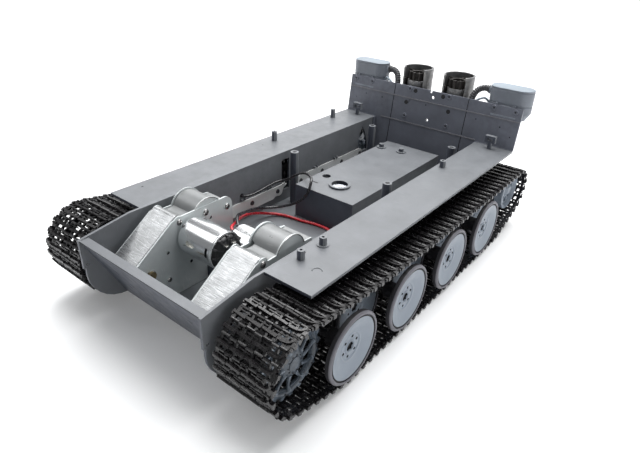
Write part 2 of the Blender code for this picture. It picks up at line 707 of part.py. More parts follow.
def track(name, side):
    inner, _ = even_points(inner_line(), TRACK_LINKS)
    outer = offset_loop(inner, TRACK_THICK)
    band = side_solid([[tuple(p) for p in outer], [tuple(p) for p in inner]],
                      side * TRACK_IN, side * TRACK_OUT)
    return node("track_" + name, band, "track_black")


RAILS = {"front": (-116.0, 8.6), "rear": (22.4, 132.8)}     # where each strip starts and ends


def suspension_rail(name, side, end):
    """One of the bare metal strips inside each wall that take the pivot pins."""
    base, top = 32.0, 44.0
    y0, y1 = RAILS[end]
    strip = box((min(side * 56.9, side * 57.9), y0, base),
                (max(side * 56.9, side * 57.9), y1, top))
    pivots = [axle_y(i) + PIVOT_BACK for i in range(STATIONS)]
    cut(strip, [cross_rod(y, AXLE_Z + PIVOT_UP, side * 56.0, side * 59.0, 2.3, 8)
                for y in pivots if y0 < y < y1])
    return node("suspension_rail_%s_%s" % (end, name), strip, "bare_steel")


# ---------------------------------------------------------------- motor leads
RED_ROUTE = [(-12.4, -100.2, 53.6), (-17.0, -97.0, 54.6), (-21.2, -90.7, 52.9),
             (-25.2, -83.8, 51.4), (-31.0, -76.5, 48.0), (-37.8, -66.8, 43.5), (-44.3, -54.5, 38.5),
             (-47.2, -41.0, 33.5), (-46.2, -29.5, 29.2), (-40.5, -21.5, 27.3),
             (-30.0, -17.4, 27.0), (-17.5, -15.8, 27.0), (-6.0, -13.0, 27.0),
             (4.0, -12.2, 27.0), (14.0, -14.0, 27.0), (24.5, -19.0, 27.0), (34.5, -25.0, 27.0),
             (44.5, -29.4, 27.1), (52.0, -30.8, 27.3), (59.2, -31.0, 27.4)]
BLACK_ROUTE = [(-12.4, -93.8, 54.2), (-18.0, -90.2, 56.3), (-25.5, -82.7, 55.3),
               (-32.0, -73.0, 51.2), (-38.5, -61.5, 46.0), (-43.5, -50.0, 42.0),
               (-46.0, -40.0, 38.5), (-45.6, -31.0, 35.6), (-39.6, -22.5, 35.2),
               (-30.0, -17.2, 38.6), (-23.0, -15.0, 43.0), (-17.2, -13.8, 48.6),
               (-13.0, -12.6, 56.4), (-14.5, -8.0, 62.6), (-19.0, -2.8, 63.2),
               (-25.5, 1.6, 62.4), (-32.3, 2.8, 61.6), (-38.5, 0.2, 58.6),
               (-45.0, -1.2, 53.6), (-50.4, -4.0, 51.2), (-53.6, -9.5, 50.2),
               (-54.2, -18.0, 49.4), (-53.7, -29.0, 48.7), (-53.6, -38.0, 48.4),
               (-54.8, -44.0, 48.5), (-57.4, -46.7, 48.5), (-59.4, -47.0, 48.5)]


def motor_lead(name, route, colour):
    curve = tube_curve(smooth_route(route, 5.0), LEAD_RADIUS)
    lead = bpy.data.objects.new(name, curve)
    PARTS.objects.link(lead)
    curve.materials.append(material(colour))
    return lead


# ---------------------------------------------------------------- assembly
def main():
    hull_tub()
    rear_plate()
    motors = {"left": REAR_MOTOR, "right": FRONT_MOTOR}
    for name, side in SIDES.items():
        exhaust(name, side)
        air_filter(name, side)
        gearbox_cover(name, side)
        gearbox_frame(name, side, motors[name])
        drive_motor(name, side, motors[name])
        motor_pinion(name, side, motors[name])
        output_gear(name, side)
        sprocket(name, side)
        idler(name, side)
        track(name, side)
        for end in RAILS:
            suspension_rail(name, side, end)
        for station in range(STATIONS):
            label = "%s_%d" % (name, station + 1)
            road_wheel("road_wheel_" + label, side, station)
            swing_arm("swing_arm_" + label, side, station)
    motor_lead("motor_lead_red", RED_ROUTE, "lead_red")
    motor_lead("motor_lead_black", BLACK_ROUTE, "lead_black")


main()
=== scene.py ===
"""The looks of the tracked tank chassis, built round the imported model.

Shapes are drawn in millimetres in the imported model's own frame: the front of the tank
points along -Y, its left side along +X, and the tracks stand on z = 0.
"""
import json
import math

import bmesh
import bpy
import numpy as np
from mathutils import Matrix, Vector


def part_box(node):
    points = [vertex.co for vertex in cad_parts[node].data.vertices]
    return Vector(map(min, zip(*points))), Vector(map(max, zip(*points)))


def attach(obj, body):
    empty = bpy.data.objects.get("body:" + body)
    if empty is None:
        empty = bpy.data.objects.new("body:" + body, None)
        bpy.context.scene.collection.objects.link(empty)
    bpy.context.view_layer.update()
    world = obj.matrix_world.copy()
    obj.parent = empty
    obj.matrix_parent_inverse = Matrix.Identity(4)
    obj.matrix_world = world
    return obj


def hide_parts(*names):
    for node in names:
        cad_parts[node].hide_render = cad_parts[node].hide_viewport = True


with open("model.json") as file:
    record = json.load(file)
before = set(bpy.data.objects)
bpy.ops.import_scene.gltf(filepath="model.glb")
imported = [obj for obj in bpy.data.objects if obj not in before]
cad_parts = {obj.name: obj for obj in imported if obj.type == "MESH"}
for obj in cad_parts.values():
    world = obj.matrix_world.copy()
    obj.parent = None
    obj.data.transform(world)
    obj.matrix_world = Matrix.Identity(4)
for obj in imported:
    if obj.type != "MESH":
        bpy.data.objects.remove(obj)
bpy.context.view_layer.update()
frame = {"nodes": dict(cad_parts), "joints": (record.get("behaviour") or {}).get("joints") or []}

MM = 0.001
SIDES = {"left": 1, "right": -1}
STATIONS = 8
PIN = {joint["name"]: Vector(joint["pos_m"]) / MM for joint in frame["joints"]}
SIDEWAYS = Matrix(((0, 0, 1, 0), (1, 0, 0, 0), (0, 1, 0, 0), (0, 0, 0, 1)))
scene = bpy.context.scene


def extent(node):
    """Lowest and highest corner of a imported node, in millimetres."""
    low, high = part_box(node)
    return low / MM, high / MM


# ------------------------ camera, light and floor
CAMERA_PLACE = Vector((0.237053, -0.323814, 0.245574))
CAMERA_AIM = Vector((0.014876, -0.031706, 0.040))
CAMERA_ROLL = 2.409                     # degrees
CAMERA_LENS, CAMERA_SENSOR = 29.474, 36.0
FLOOR_GLOW_PAINTED = (0.45, 2.2, 0.15, 0.85)    # painted floor glow: two distances from the tank, then the glow at each


def make_camera():
    data = bpy.data.cameras.new("camera")
    data.sensor_width = CAMERA_SENSOR
    data.lens = CAMERA_LENS
    camera = bpy.data.objects.new("camera", data)
    level = (CAMERA_AIM - CAMERA_PLACE).to_track_quat("-Z", "Y").to_matrix().to_4x4()
    camera.matrix_world = Matrix.Translation(CAMERA_PLACE) @ level @ spin(CAMERA_ROLL, "Z")
    scene.collection.objects.link(camera)
    scene.camera = camera


def place_light(data, place, aim):
    light = bpy.data.objects.new(data.name, data)
    light.location = place
    light.rotation_euler = (Vector(aim) - Vector(place)).to_track_quat("-Z", "Y").to_euler()
    scene.collection.objects.link(light)


def softbox(name, place, aim, size, power):
    data = bpy.data.lights.new(name, "AREA")
    data.shape = "RECTANGLE"
    data.size, data.size_y = size
    data.energy = power
    place_light(data, place, aim)


def bay_lamp():
    """A narrow lamp under the open battery bay: the wall seen through the ring is bright."""
    data = bpy.data.lights.new("bay_lamp", "SPOT")
    data.energy = 1.0
    data.spot_size = math.radians(32)
    data.spot_blend = 0.3
    data.shadow_soft_size = 0.002
    place_light(data, (0.020, 0.050, 0.008), (-0.028, 0.055, 0.036))


def make_studio():
    scene.view_settings.view_transform = "Standard"
    world = bpy.data.worlds.new("studio")
    world.use_nodes = True
    world.node_tree.nodes["Background"].inputs["Color"].default_value = (0.94, 0.97, 1.0, 1)
    world.node_tree.nodes["Background"].inputs["Strength"].default_value = 0.25
    scene.world = world
    softbox("top_box", (-0.15, 0.42, 1.30), (0, 0, 0), (1.4, 1.3), 38)
    softbox("rear_box", (-0.93, 1.11, 0.68), (0, 0, 0.05), (1.7, 0.8), 6)
    softbox("ramp_box", (-1.0, -0.5, 1.25), (0, -0.1, 0.05), (0.8, 0.8), 4)
    softbox("side_box", (1.15, 0.10, 0.30), (0.1, 0, 0.02), (1.0, 0.4), 3.2)
    bay_lamp()
    bm = bmesh.new()
    bmesh.ops.create_grid(bm, x_segments=24, y_segments=24, size=9.0)
    mesh = bpy.data.meshes.new("floor")
    bm.to_mesh(mesh)
    bm.free()
    floor = bpy.data.objects.new("floor", mesh)
    scene.collection.objects.link(floor)
    # The floor glows as painted light, faintly near the tank and brightly far from it.
    mesh.materials.append(surface("paper", (0.86, 0.865, 0.87), 0.75, mottle=0.03,
                                  mottle_size=0.2, grain=0.00001, grain_size=0.004,
                                  glow=FLOOR_GLOW_PAINTED))


# ------------------------ materials
class Nodes:
    """Adds shader nodes to one material, all in the object's own coordinates."""

    def __init__(self, name):
        self.material = bpy.data.materials.new(name)
        self.material.use_nodes = True
        self.tree = self.material.node_tree
        self.shader = self.tree.nodes["Principled BSDF"]
        self.place = self.add("ShaderNodeTexCoord").outputs["Object"]

    def add(self, kind, **settings):
        made = self.tree.nodes.new(kind)
        for key, value in settings.items():
            setattr(made, key, value)
        return made

    def link(self, source, target):
        self.tree.links.new(source, target)

    def noise(self, size, detail=3.0, stretch=(1, 1, 1)):
        """Noise whose blots are about size metres wide, drawn out along an axis by stretch."""
        mapping = self.add("ShaderNodeMapping")
        mapping.inputs["Scale"].default_value = [1.0 / s for s in stretch]
        self.link(self.place, mapping.inputs["Vector"])
        made = self.add("ShaderNodeTexNoise")
        made.inputs["Scale"].default_value = 1.0 / size
        made.inputs["Detail"].default_value = detail
        self.link(mapping.outputs["Vector"], made.inputs["Vector"])
        return made.outputs["Fac"]

    def steps(self, value, low, high, start=0.0, end=1.0):
        """Value from low to high as a factor from start to end, level outside that."""
        made = self.add("ShaderNodeMapRange", clamp=True)
        for name, number in (("From Min", low), ("From Max", high),
                             ("To Min", start), ("To Max", end)):
            made.inputs[name].default_value = number
        self.link(value, made.inputs["Value"])
        return made.outputs["Result"]

    def mix(self, factor, first, second):
        """Colours or colour sockets, mixed by a factor socket."""
        made = self.add("ShaderNodeMix", data_type="RGBA")
        self.link(factor, made.inputs["Factor"])
        for index, value in ((6, first), (7, second)):
            if isinstance(value, tuple):
                made.inputs[index].default_value = (*value, 1.0)
            else:
                self.link(value, made.inputs[index])
        return made.outputs[2]

    def product(self, first, second):
        made = self.add("ShaderNodeMath", operation="MULTIPLY")
        self.link(first, made.inputs[0])
        self.link(second, made.inputs[1])
        return made.outputs[0]

    def bump(self, height, depth, below=None):
        made = self.add("ShaderNodeBump")
        made.inputs["Distance"].default_value = depth
        self.link(height, made.inputs["Height"])
        if below is not None:
            self.link(below, made.inputs["Normal"])
        return made.outputs["Normal"]


def shade(colour, factor):
    return tuple(min(1.0, c * factor) for c in colour)


def surface(name, colour, roughness, metallic=0.0, mottle=0.12, mottle_size=0.02,
            grain=0.00003, grain_size=0.0006, wear=0.0, wear_colour=None, scratch=0.0,
            brush=None, spread=0.07, coat=0.0, glow=None):
    """A finish with blotchy colour, mould grain or brush marks, fine scratches and worn edges.

    glow is painted light on the floor: it glows more with distance from the tank, and its faint
    glow near the tank lightens the shadows there.
    """
    made = Nodes(name)
    shader = made.shader
    shader.inputs["Metallic"].default_value = metallic
    shader.inputs["Coat Weight"].default_value = coat
    blots = made.steps(made.noise(mottle_size, 4.0), 0.3, 0.7)
    tone = made.mix(blots, shade(colour, 1 - mottle), shade(colour, 1 + mottle))
    worn = wear_colour or shade(colour, 1.8)
    if wear:
        edges = made.add("ShaderNodeNewGeometry").outputs["Pointiness"]
        rubbed = made.product(made.steps(edges, 0.52, 0.60, 0.0, wear),
                              made.steps(made.noise(0.004, 3.0), 0.35, 0.6))
        tone = made.mix(rubbed, tone, worn)
    if scratch:
        marks = made.steps(made.noise(0.0012, 2.0, (9.0, 1.4, 5.0)), 0.66, 0.72, 0.0, scratch)
        tone = made.mix(marks, tone, worn)
    rough = made.noise(mottle_size * 0.35, 3.0)
    height = made.noise(grain_size, 2.0)
    normal = made.bump(height, grain)
    if brush:
        lines = made.noise(0.0005, 4.0, brush)
        normal = made.bump(lines, grain * 1.5, normal)
        tone = made.mix(made.steps(lines, 0.3, 0.7, 0.0, 0.35), tone, shade(colour, 0.8))
        rough = lines
    made.link(made.steps(rough, 0.3, 0.7, roughness - spread, roughness + spread),
              shader.inputs["Roughness"])
    made.link(tone, shader.inputs["Base Color"])
    made.link(normal, shader.inputs["Normal"])
    if glow:
        distance = made.add("ShaderNodeVectorMath", operation="LENGTH")
        made.link(made.place, distance.inputs[0])
        made.link(made.steps(distance.outputs["Value"], *glow), shader.inputs["Emission Strength"])
        shader.inputs["Emission Color"].default_value = (1, 1, 1, 1)
    return made.material


FINE = {"grain": 0.00001}
LINK = {"mottle": 0.5, "grain": 0.00008, "grain_size": 0.0012, "spread": 0.14}
LEAD = {"mottle_size": 0.006, "grain": 0.00001, "grain_size": 0.0012, "coat": 0.3}


def make_materials():
    """Every finish, under the short name that the pieces below ask for it by."""
    return {
        "hull": surface("hull_plastic", (0.150, 0.158, 0.170), 0.40, wear=0.5, scratch=0.12,
                        mottle=0.10),
        # Painted shade: a darker copy of the hull plastic for the faces that look forward, where no
        # light falls.
        "forward_shade": surface("forward_shade_plastic", (0.056, 0.063, 0.083), 0.42, wear=0.5, scratch=0.1),
        "plate": surface("rear_plate_plastic", (0.106, 0.114, 0.140), 0.45, wear=0.5,
                         scratch=0.10),
        "plate_line": surface("raised_line", (0.13, 0.13, 0.145), 0.45, wear=0.4),
        "dark": surface("hole_shadow", (0.010, 0.010, 0.012), 0.6),
        "wheel": surface("wheel_plastic", (0.200, 0.232, 0.275), 0.40, wear=0.35, mottle=0.06,
                         scratch=0.05),
        # Near black, for the tread and the back of the road wheels.
        "tyre": surface("tyre_band", (0.120, 0.118, 0.135), 0.50, wear=0.3, mottle=0.10),
        "near_black_tread": surface("near_black_tread", (0.022, 0.021, 0.025), 0.6, wear=0.3, mottle=0.2),
        "sprocket": surface("sprocket_plastic", (0.040, 0.052, 0.068), 0.36, wear=0.8,
                            wear_colour=(0.22, 0.26, 0.31), mottle=0.2, mottle_size=0.006),
        "track": surface("track_plastic", (0.0045, 0.004, 0.005), 0.30, wear=0.5,
                         wear_colour=(0.06, 0.055, 0.058), mottle_size=0.005, **LINK),
        "track_worn": surface("track_raised", (0.008, 0.007, 0.008), 0.30, wear=0.6,
                              wear_colour=(0.12, 0.11, 0.112), mottle_size=0.004, **LINK),
        "zinc": surface("zinc_sheet", (0.60, 0.64, 0.645), 0.38, 0.30, mottle=0.06,
                        brush=(1.0, 40.0, 40.0), wear=0.3, scratch=0.25, spread=0.10, **FINE),
        "rail": surface("rail_zinc", (0.74, 0.75, 0.74), 0.40, 0.12, mottle=0.08,
                        brush=(40.0, 40.0, 1.0), wear=0.3, scratch=0.3, **FINE),
        "ramp": surface("brushed_cover", (0.52, 0.53, 0.54), 0.30, 0.9, mottle=0.20,
                        mottle_size=0.009, brush=(16.0, 1.0, 1.0), scratch=0.3, spread=0.14,
                        wear_colour=(0.80, 0.80, 0.80)),
        "hump": surface("satin_cover", (0.245, 0.252, 0.255), 0.34, 0.35, mottle=0.08,
                        scratch=0.2, spread=0.08, wear_colour=(0.45, 0.45, 0.45), **FINE),
        "can": surface("motor_can", (0.82, 0.83, 0.84), 0.20, 1.0, mottle=0.03, grain=0.000004,
                       brush=(0.6, 30.0, 30.0), spread=0.05),
        "screw": surface("screw_steel", (0.34, 0.335, 0.33), 0.24, 1.0, mottle=0.25,
                         mottle_size=0.002, **FINE),
        "cap": surface("motor_cap", (0.006, 0.006, 0.007), 0.36, mottle=0.3, wear=0.5,
                       wear_colour=(0.12, 0.12, 0.13)),
        "brass": surface("gear_brass", (0.34, 0.27, 0.16), 0.36, 1.0, mottle=0.15,
                         mottle_size=0.003, **FINE),
        "exhaust": surface("burnished_shield", (0.16, 0.16, 0.165), 0.40, 0.35, mottle=0.20,
                           mottle_size=0.006, wear=0.9, wear_colour=(0.40, 0.39, 0.37),
                           scratch=0.2),
        "soot": surface("exhaust_inside", (0.030, 0.026, 0.024), 0.55, 0.3, mottle=0.5,
                        mottle_size=0.004, wear=0.5),
        "filter": surface("filter_plastic", (0.150, 0.166, 0.194), 0.40, wear=0.5, mottle=0.08),
        "filter_top": surface("filter_lid", (0.24, 0.28, 0.32), 0.6, mottle=0.08, wear=0.4),
        "hose": surface("hose_rubber", (0.045, 0.045, 0.05), 0.45, mottle=0.3, wear=0.7),
        # Partly painted shade: made near black so that the rail holes in front of the arms look
        # dark.
        "arm": surface("arm_plastic_darkened_as_shade", (0.035, 0.036, 0.040), 0.48, wear=0.4, mottle=0.15),
        "red": surface("red_insulation", (0.62, 0.022, 0.035), 0.26, mottle=0.12, **LEAD),
        "black": surface("black_insulation", (0.016, 0.015, 0.018), 0.28, mottle=0.3, **LEAD),
        "tin": surface("terminal_tin", (0.80, 0.79, 0.75), 0.25, 1.0, mottle=0.15,
                       mottle_size=0.001, **FINE),
    }


# ------------------------ shapes, in millimetres
def painted(bm, verts, slot):
    for face in {f for v in verts for f in v.link_faces}:
        face.material_index = slot


def block(bm, low, high, slot=0, turn=Matrix.Identity(4)):
    size = Vector(high) - Vector(low)
    middle = (Vector(high) + Vector(low)) / 2
    matrix = turn @ Matrix.Translation(middle) @ Matrix.Diagonal(size.to_4d())
    painted(bm, bmesh.ops.create_cube(bm, size=1.0, matrix=matrix)["verts"], slot)


def side_block(bm, side, xs, ys, zs, slot=0):
    """A block given by its distance from the middle plane, on one side of the tank."""
    low, high = sorted((side * xs[0], side * xs[1]))
    block(bm, (low, ys[0], zs[0]), (high, ys[1], zs[1]), slot)


def shift(x, y, z):
    return Matrix.Translation((x, y, z))


def spin(angle, axis="X"):
    return Matrix.Rotation(math.radians(angle), 4, axis)


def bar(bm, start, end, radius, segments=24, slot=0):
    start, end = Vector(start), Vector(end)
    along = end - start
    turn = Vector((0, 0, 1)).rotation_difference(along).to_matrix().to_4x4()
    made = bmesh.ops.create_cone(
        bm, cap_ends=True, segments=segments, radius1=radius, radius2=radius,
        depth=along.length, matrix=Matrix.Translation((start + end) / 2) @ turn)
    painted(bm, made["verts"], slot)


def circle(radius, count, first=0.0):
    """Points evenly round the origin; first is where they start, in steps."""
    angles = (2 * math.pi * (i + first) / count for i in range(count))
    return [(radius * math.cos(a), radius * math.sin(a)) for a in angles]


def skin(bm, rings, slots=0, closed=False, capped=True):
    """Faces from each ring of vertices to the next; slots is a finish, or one for each step."""
    count = max(len(ring) for ring in rings)
    if not isinstance(slots, list):
        slots = [slots] * len(rings)
    following = rings[1:] + rings[:1] if closed else rings[1:]
    for one, two, slot in zip(rings, following, slots):
        for i in range(count):
            j = (i + 1) % count
            corners = dict.fromkeys((one[i % len(one)], one[j % len(one)],
                                     two[j % len(two)], two[i % len(two)]))
            if len(corners) > 2:
                bm.faces.new(list(corners)).material_index = slot
    if capped and not closed:
        bm.faces.new(rings[0][::-1]).material_index = slots[0]
        bm.faces.new(rings[-1]).material_index = slots[-1]


def lathe(bm, profile, segments=48, turn=Matrix.Identity(4), closed=False, slots=0):
    """A body of revolution about X from (x, radius) pairs."""
    rings = [[bm.verts.new(turn @ Vector((x, y, z)))
              for y, z in (circle(radius, segments) if radius > 0 else [(0, 0)])]
             for x, radius in profile]
    skin(bm, rings, slots, closed, capped=False)


def prism(bm, outline, low, high, turn=Matrix.Identity(4), slot=0):
    """A flat outline made thick between two heights of its own plane."""
    skin(bm, [[bm.verts.new(turn @ Vector((u, v, w))) for u, v in outline]
              for w in (low, high)], slot)


def side_prism(bm, outline, x0, x1, slot=0):
    """An outline drawn in (y, z), standing between two planes of constant x."""
    prism(bm, outline, x0, x1, SIDEWAYS, slot)


def heading(points, i):
    """The direction of a line of points at one of them."""
    return (points[min(i + 1, len(points) - 1)] - points[max(i - 1, 0)]).normalized()


def tube(bm, points, radius, sides=10, slot=0):
    """A round bar along a line of points; a list of radii gives one for each point."""
    rows = [Vector(p) for p in points]
    rings, normal = [], None
    for i, here in enumerate(rows):
        ahead = heading(rows, i)
        if normal is None:
            normal = Vector((0, 0, 1)) if abs(ahead.z) < 0.9 else ahead.orthogonal()
        normal = (normal - ahead * normal.dot(ahead)).normalized()
        other = ahead.cross(normal)
        size = radius[i] if isinstance(radius, list) else radius
        rings.append([bm.verts.new(here + other * u + normal * v)
                      for u, v in circle(size, sides)])
    skin(bm, rings, slot)


def arc(centre, radius, start, end, steps):
    """Points on a circle from one angle to another, in degrees."""
    angles = [math.radians(start + (end - start) * i / steps) for i in range(steps + 1)]
    return [(centre[0] + radius * math.cos(a), centre[1] + radius * math.sin(a)) for a in angles]


def smooth_route(points, spacing):
    """A Catmull-Rom curve through the given points, sampled about every spacing."""
    rows = [Vector(p) for p in points]
    rows = [rows[0] * 2 - rows[1]] + rows + [rows[-1] * 2 - rows[-2]]
    route = []
    for a, b, c, d in zip(rows, rows[1:], rows[2:], rows[3:]):
        steps = max(1, round((c - b).length / spacing))
        for i in range(steps):
            t = i / steps
            route.append(0.5 * (2 * b + (c - a) * t + (2 * a - 5 * b + 4 * c - d) * t ** 2
                                + (3 * b - a - 3 * c + d) * t ** 3))
    route.append(rows[-2])
    return route


def screw(bm, place, facing, radius, slot, dark):
    """A pan-head screw with a cross recess, its head standing out along facing."""
    facing = Vector(facing).normalized()
    turn = (Matrix.Translation(Vector(place))
            @ Vector((1, 0, 0)).rotation_difference(facing).to_matrix().to_4x4())
    high = radius * 0.55
    profile = [(high * math.sin(a), radius * math.cos(a))
               for a in (math.radians(t) for t in (0, 25, 45, 62, 76, 86))]
    lathe(bm, [(0.0, 0.0), (0.0, radius * 1.02)] + profile + [(high, 0.0)], 20, turn, slots=slot)
    long, wide = radius * 0.55, radius * 0.13
    top = high + 0.04
    block(bm, (high * 0.6, -long, -wide), (top, long, wide), dark, turn)
    block(bm, (high * 0.6, -wide, -long), (top, wide, long), dark, turn)


def copy_of(node):
    """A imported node's shape as a clean bmesh in millimetres, flat faces made whole again."""
    bm = bmesh.new()
    bm.from_mesh(frame["nodes"][node].data)
    bmesh.ops.scale(bm, vec=(1 / MM,) * 3, verts=bm.verts)
    bmesh.ops.remove_doubles(bm, verts=bm.verts, dist=0.002)
    bmesh.ops.dissolve_limit(bm, angle_limit=math.radians(0.4), verts=bm.verts, edges=bm.edges)
    for face in bm.faces:
        face.material_index = 0
    return bm


def subtract(body, tool):
    """One shape less another; both are used up."""
    objects = []
    for shape in (body, tool):
        bmesh.ops.recalc_face_normals(shape, faces=shape.faces)
        mesh = bpy.data.meshes.new("work")
        shape.to_mesh(mesh)
        shape.free()
        for _ in range(4):
            mesh.materials.append(None)
        obj = bpy.data.objects.new("work", mesh)
        scene.collection.objects.link(obj)
        objects.append(obj)
    change = objects[0].modifiers.new("cut", "BOOLEAN")
    change.operation = "DIFFERENCE"
    change.use_self = True
    change.object = objects[1]
    bpy.context.view_layer.update()
    evaluated = objects[0].evaluated_get(bpy.context.evaluated_depsgraph_get())
    made = bmesh.new()
    made.from_mesh(evaluated.to_mesh())
    for obj in objects:
        bpy.data.objects.remove(obj)
    return made


def mesh_of(name, bm, finishes, smooth=32):
    bmesh.ops.recalc_face_normals(bm, faces=bm.faces)
    bmesh.ops.scale(bm, vec=(MM,) * 3, verts=bm.verts)
    mesh = bpy.data.meshes.new(name)
    bm.to_mesh(mesh)
    bm.free()
    for finish in finishes:
        mesh.materials.append(FINISH[finish])
    mesh.shade_smooth()
    mesh.set_sharp_from_angle(angle=math.radians(smooth))
    return mesh


def piece(name, mesh, body, nodes, bevel=0.0, place=(0, 0, 0)):
    """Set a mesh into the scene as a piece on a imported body, in the place of some nodes."""
    obj = bpy.data.objects.new(name, mesh)
    obj.location = Vector(place) * MM
    scene.collection.objects.link(obj)
    if bevel:
        edge = obj.modifiers.new("edges", "BEVEL")
        edge.width = bevel * MM
        edge.segments = 2
        edge.limit_method = "ANGLE"
        edge.angle_limit = math.radians(35)
        edge.miter_outer = "MITER_ARC"
        flat = obj.modifiers.new("flat_faces", "WEIGHTED_NORMAL")
        flat.keep_sharp = True
    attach(obj, body)
    if nodes:
        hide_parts(*nodes)


def hull_piece(name, bm, finishes, nodes, bevel, smooth=32):
    piece(name, mesh_of(name, bm, finishes, smooth), "hull", nodes, bevel)


def turning_piece(name, mesh, body, node):
    """A piece drawn round its own axle, set on the joint that its body turns about."""
    axle = PIN[body + "_spin"]
    piece(name, mesh, body, [node], 0, (0, axle.y, axle.z))


def both_sides(mesh):
    """A shape drawn for the tank's left side, and the same for its right side."""
    other = mesh.copy()
    other.transform(Matrix.Diagonal((-1, 1, 1, 1)))
    other.flip_normals()
    return {"left": mesh, "right": other}


# ------------------------ motor leads
RED_ROUTE = [(-12.4, -100.2, 53.6), (-17.0, -97.0, 54.6), (-21.2, -90.7, 52.9),
             (-25.2, -83.8, 51.4), (-31.0, -76.5, 48.0), (-37.8, -66.8, 43.5), (-44.3, -54.5, 38.5),
             (-47.2, -41.0, 33.5), (-46.2, -29.5, 29.2), (-40.5, -21.5, 27.3),
             (-30.0, -17.4, 27.0), (-17.5, -15.8, 27.0), (-6.0, -13.0, 27.0),
             (4.0, -12.2, 27.0), (14.0, -14.0, 27.0), (24.5, -19.0, 27.0), (34.5, -25.0, 27.0),
             (44.5, -29.4, 27.1), (52.0, -30.8, 27.3), (59.2, -31.0, 27.4)]
BLACK_ROUTE = [(-12.4, -93.8, 54.2), (-18.0, -90.2, 56.3), (-25.5, -82.7, 55.3),
               (-32.0, -73.0, 51.2), (-38.5, -61.5, 46.0), (-43.5, -50.0, 42.0),
               (-46.0, -40.0, 38.5), (-45.6, -31.0, 35.6), (-39.6, -22.5, 35.2),
               (-30.0, -17.2, 38.6), (-23.0, -15.0, 43.0), (-17.2, -13.8, 48.6),
               (-13.0, -12.6, 56.4), (-14.5, -8.0, 62.6), (-19.0, -2.8, 63.2),
               (-25.5, 1.6, 62.4), (-32.3, 2.8, 61.6), (-38.5, 0.2, 58.6),
               (-45.0, -1.2, 53.6), (-50.4, -4.0, 51.2), (-53.6, -9.5, 50.2),
               (-54.2, -18.0, 49.4), (-53.7, -29.0, 48.7), (-53.6, -38.0, 48.4),
               (-54.8, -44.0, 48.5), (-57.4, -46.7, 48.5), (-59.4, -47.0, 48.5)]
LEAD_DIAMETER = 2.4


def motor_lead(name, route, finish):
    points = smooth_route(route, 1.6)
    curve = bpy.data.curves.new(name, "CURVE")
    curve.dimensions = "3D"
    curve.bevel_depth = LEAD_DIAMETER / 2 * MM
    curve.bevel_resolution = 4
    curve.use_fill_caps = True
    spline = curve.splines.new("POLY")
    spline.points.add(len(points) - 1)
    for point, place in zip(spline.points, points):
        point.co = (*(place * MM), 1.0)
    spline.use_smooth = True
    curve.materials.append(FINISH[finish])
    lead = bpy.data.objects.new(name + "_flex", curve)
    scene.collection.objects.link(lead)
    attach(lead, "hull")
    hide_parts(name)


# ------------------------ tracks
TRACK_LINKS = 95
TRACK_IN = 66.0
SPROCKET_WRAP, WHEEL_WRAP, IDLER_WRAP = 26.0, 25.3, 19.5
UPPER_RUN_Z, UPPER_RUN_RISE, UPPER_RUN_FADE = 55.5, 11.5, 60.0


def tangent(centre_a, radius_a, centre_b, radius_b):
    """Angle of the outer normal of the belt line that leaves circle a for circle b."""
    gap = Vector(centre_b) - Vector(centre_a)
    lean = math.asin((radius_a - radius_b) / gap.length)
    return math.degrees(math.atan2(gap.y, gap.x) - math.pi / 2 + lean)


def inner_line():
    """The line that the inside of the track follows, counter-clockwise from the idler's top."""
    sprocket = PIN["sprocket_left_spin"].yz
    idler = PIN["idler_left_spin"].yz
    first, last = PIN["wheel_left_1_spin"].yz, PIN["wheel_left_8_spin"].yz
    start, end = idler.x - 3.0, sprocket.x + 6.0
    upper = []
    for i in range(41):
        y = start + (end - start) * i / 40
        rise = UPPER_RUN_RISE * math.exp(-(y - sprocket.x) / UPPER_RUN_FADE)
        upper.append((y, UPPER_RUN_Z + rise))
    front = tangent(sprocket, SPROCKET_WRAP, first, WHEEL_WRAP)
    rear = tangent(last, WHEEL_WRAP, idler, IDLER_WRAP)
    return (upper + arc(sprocket, SPROCKET_WRAP, 82, 360 + front, 40)
            + arc(first, WHEEL_WRAP, 360 + front, 270, 8)
            + arc(last, WHEEL_WRAP, 270, 360 + rear, 8)
            + arc(idler, IDLER_WRAP, rear, 88, 30))


def even_points(line, count):
    """Walk round a closed line and set down points that are equally far apart."""
    rows = [Vector(p) for p in line]
    rows.append(rows[0])
    lengths = [(b - a).length for a, b in zip(rows, rows[1:])]
    step = sum(lengths) / count
    made, done, index = [], 0.0, 0
    for i in range(count):
        while done + lengths[index] < i * step:
            done += lengths[index]
            index += 1
        made.append(rows[index].lerp(rows[index + 1], (i * step - done) / lengths[index]))
    return made, step


def bevelled_rib(bm, line, half, low, high, slot, thin=0.62):
    """A rib along a line of (across, along) points, narrower at its top."""
    rows = []
    points = [Vector(p) for p in line]
    for i, here in enumerate(points):
        ahead = heading(points, i)
        side = Vector((-ahead.y, ahead.x))
        rows.append([bm.verts.new((*(here + side * offset), height))
                     for offset, height in ((half, low), (half * thin, high),
                                            (-half * thin, high), (-half, low))])
    skin(bm, rows, slot)


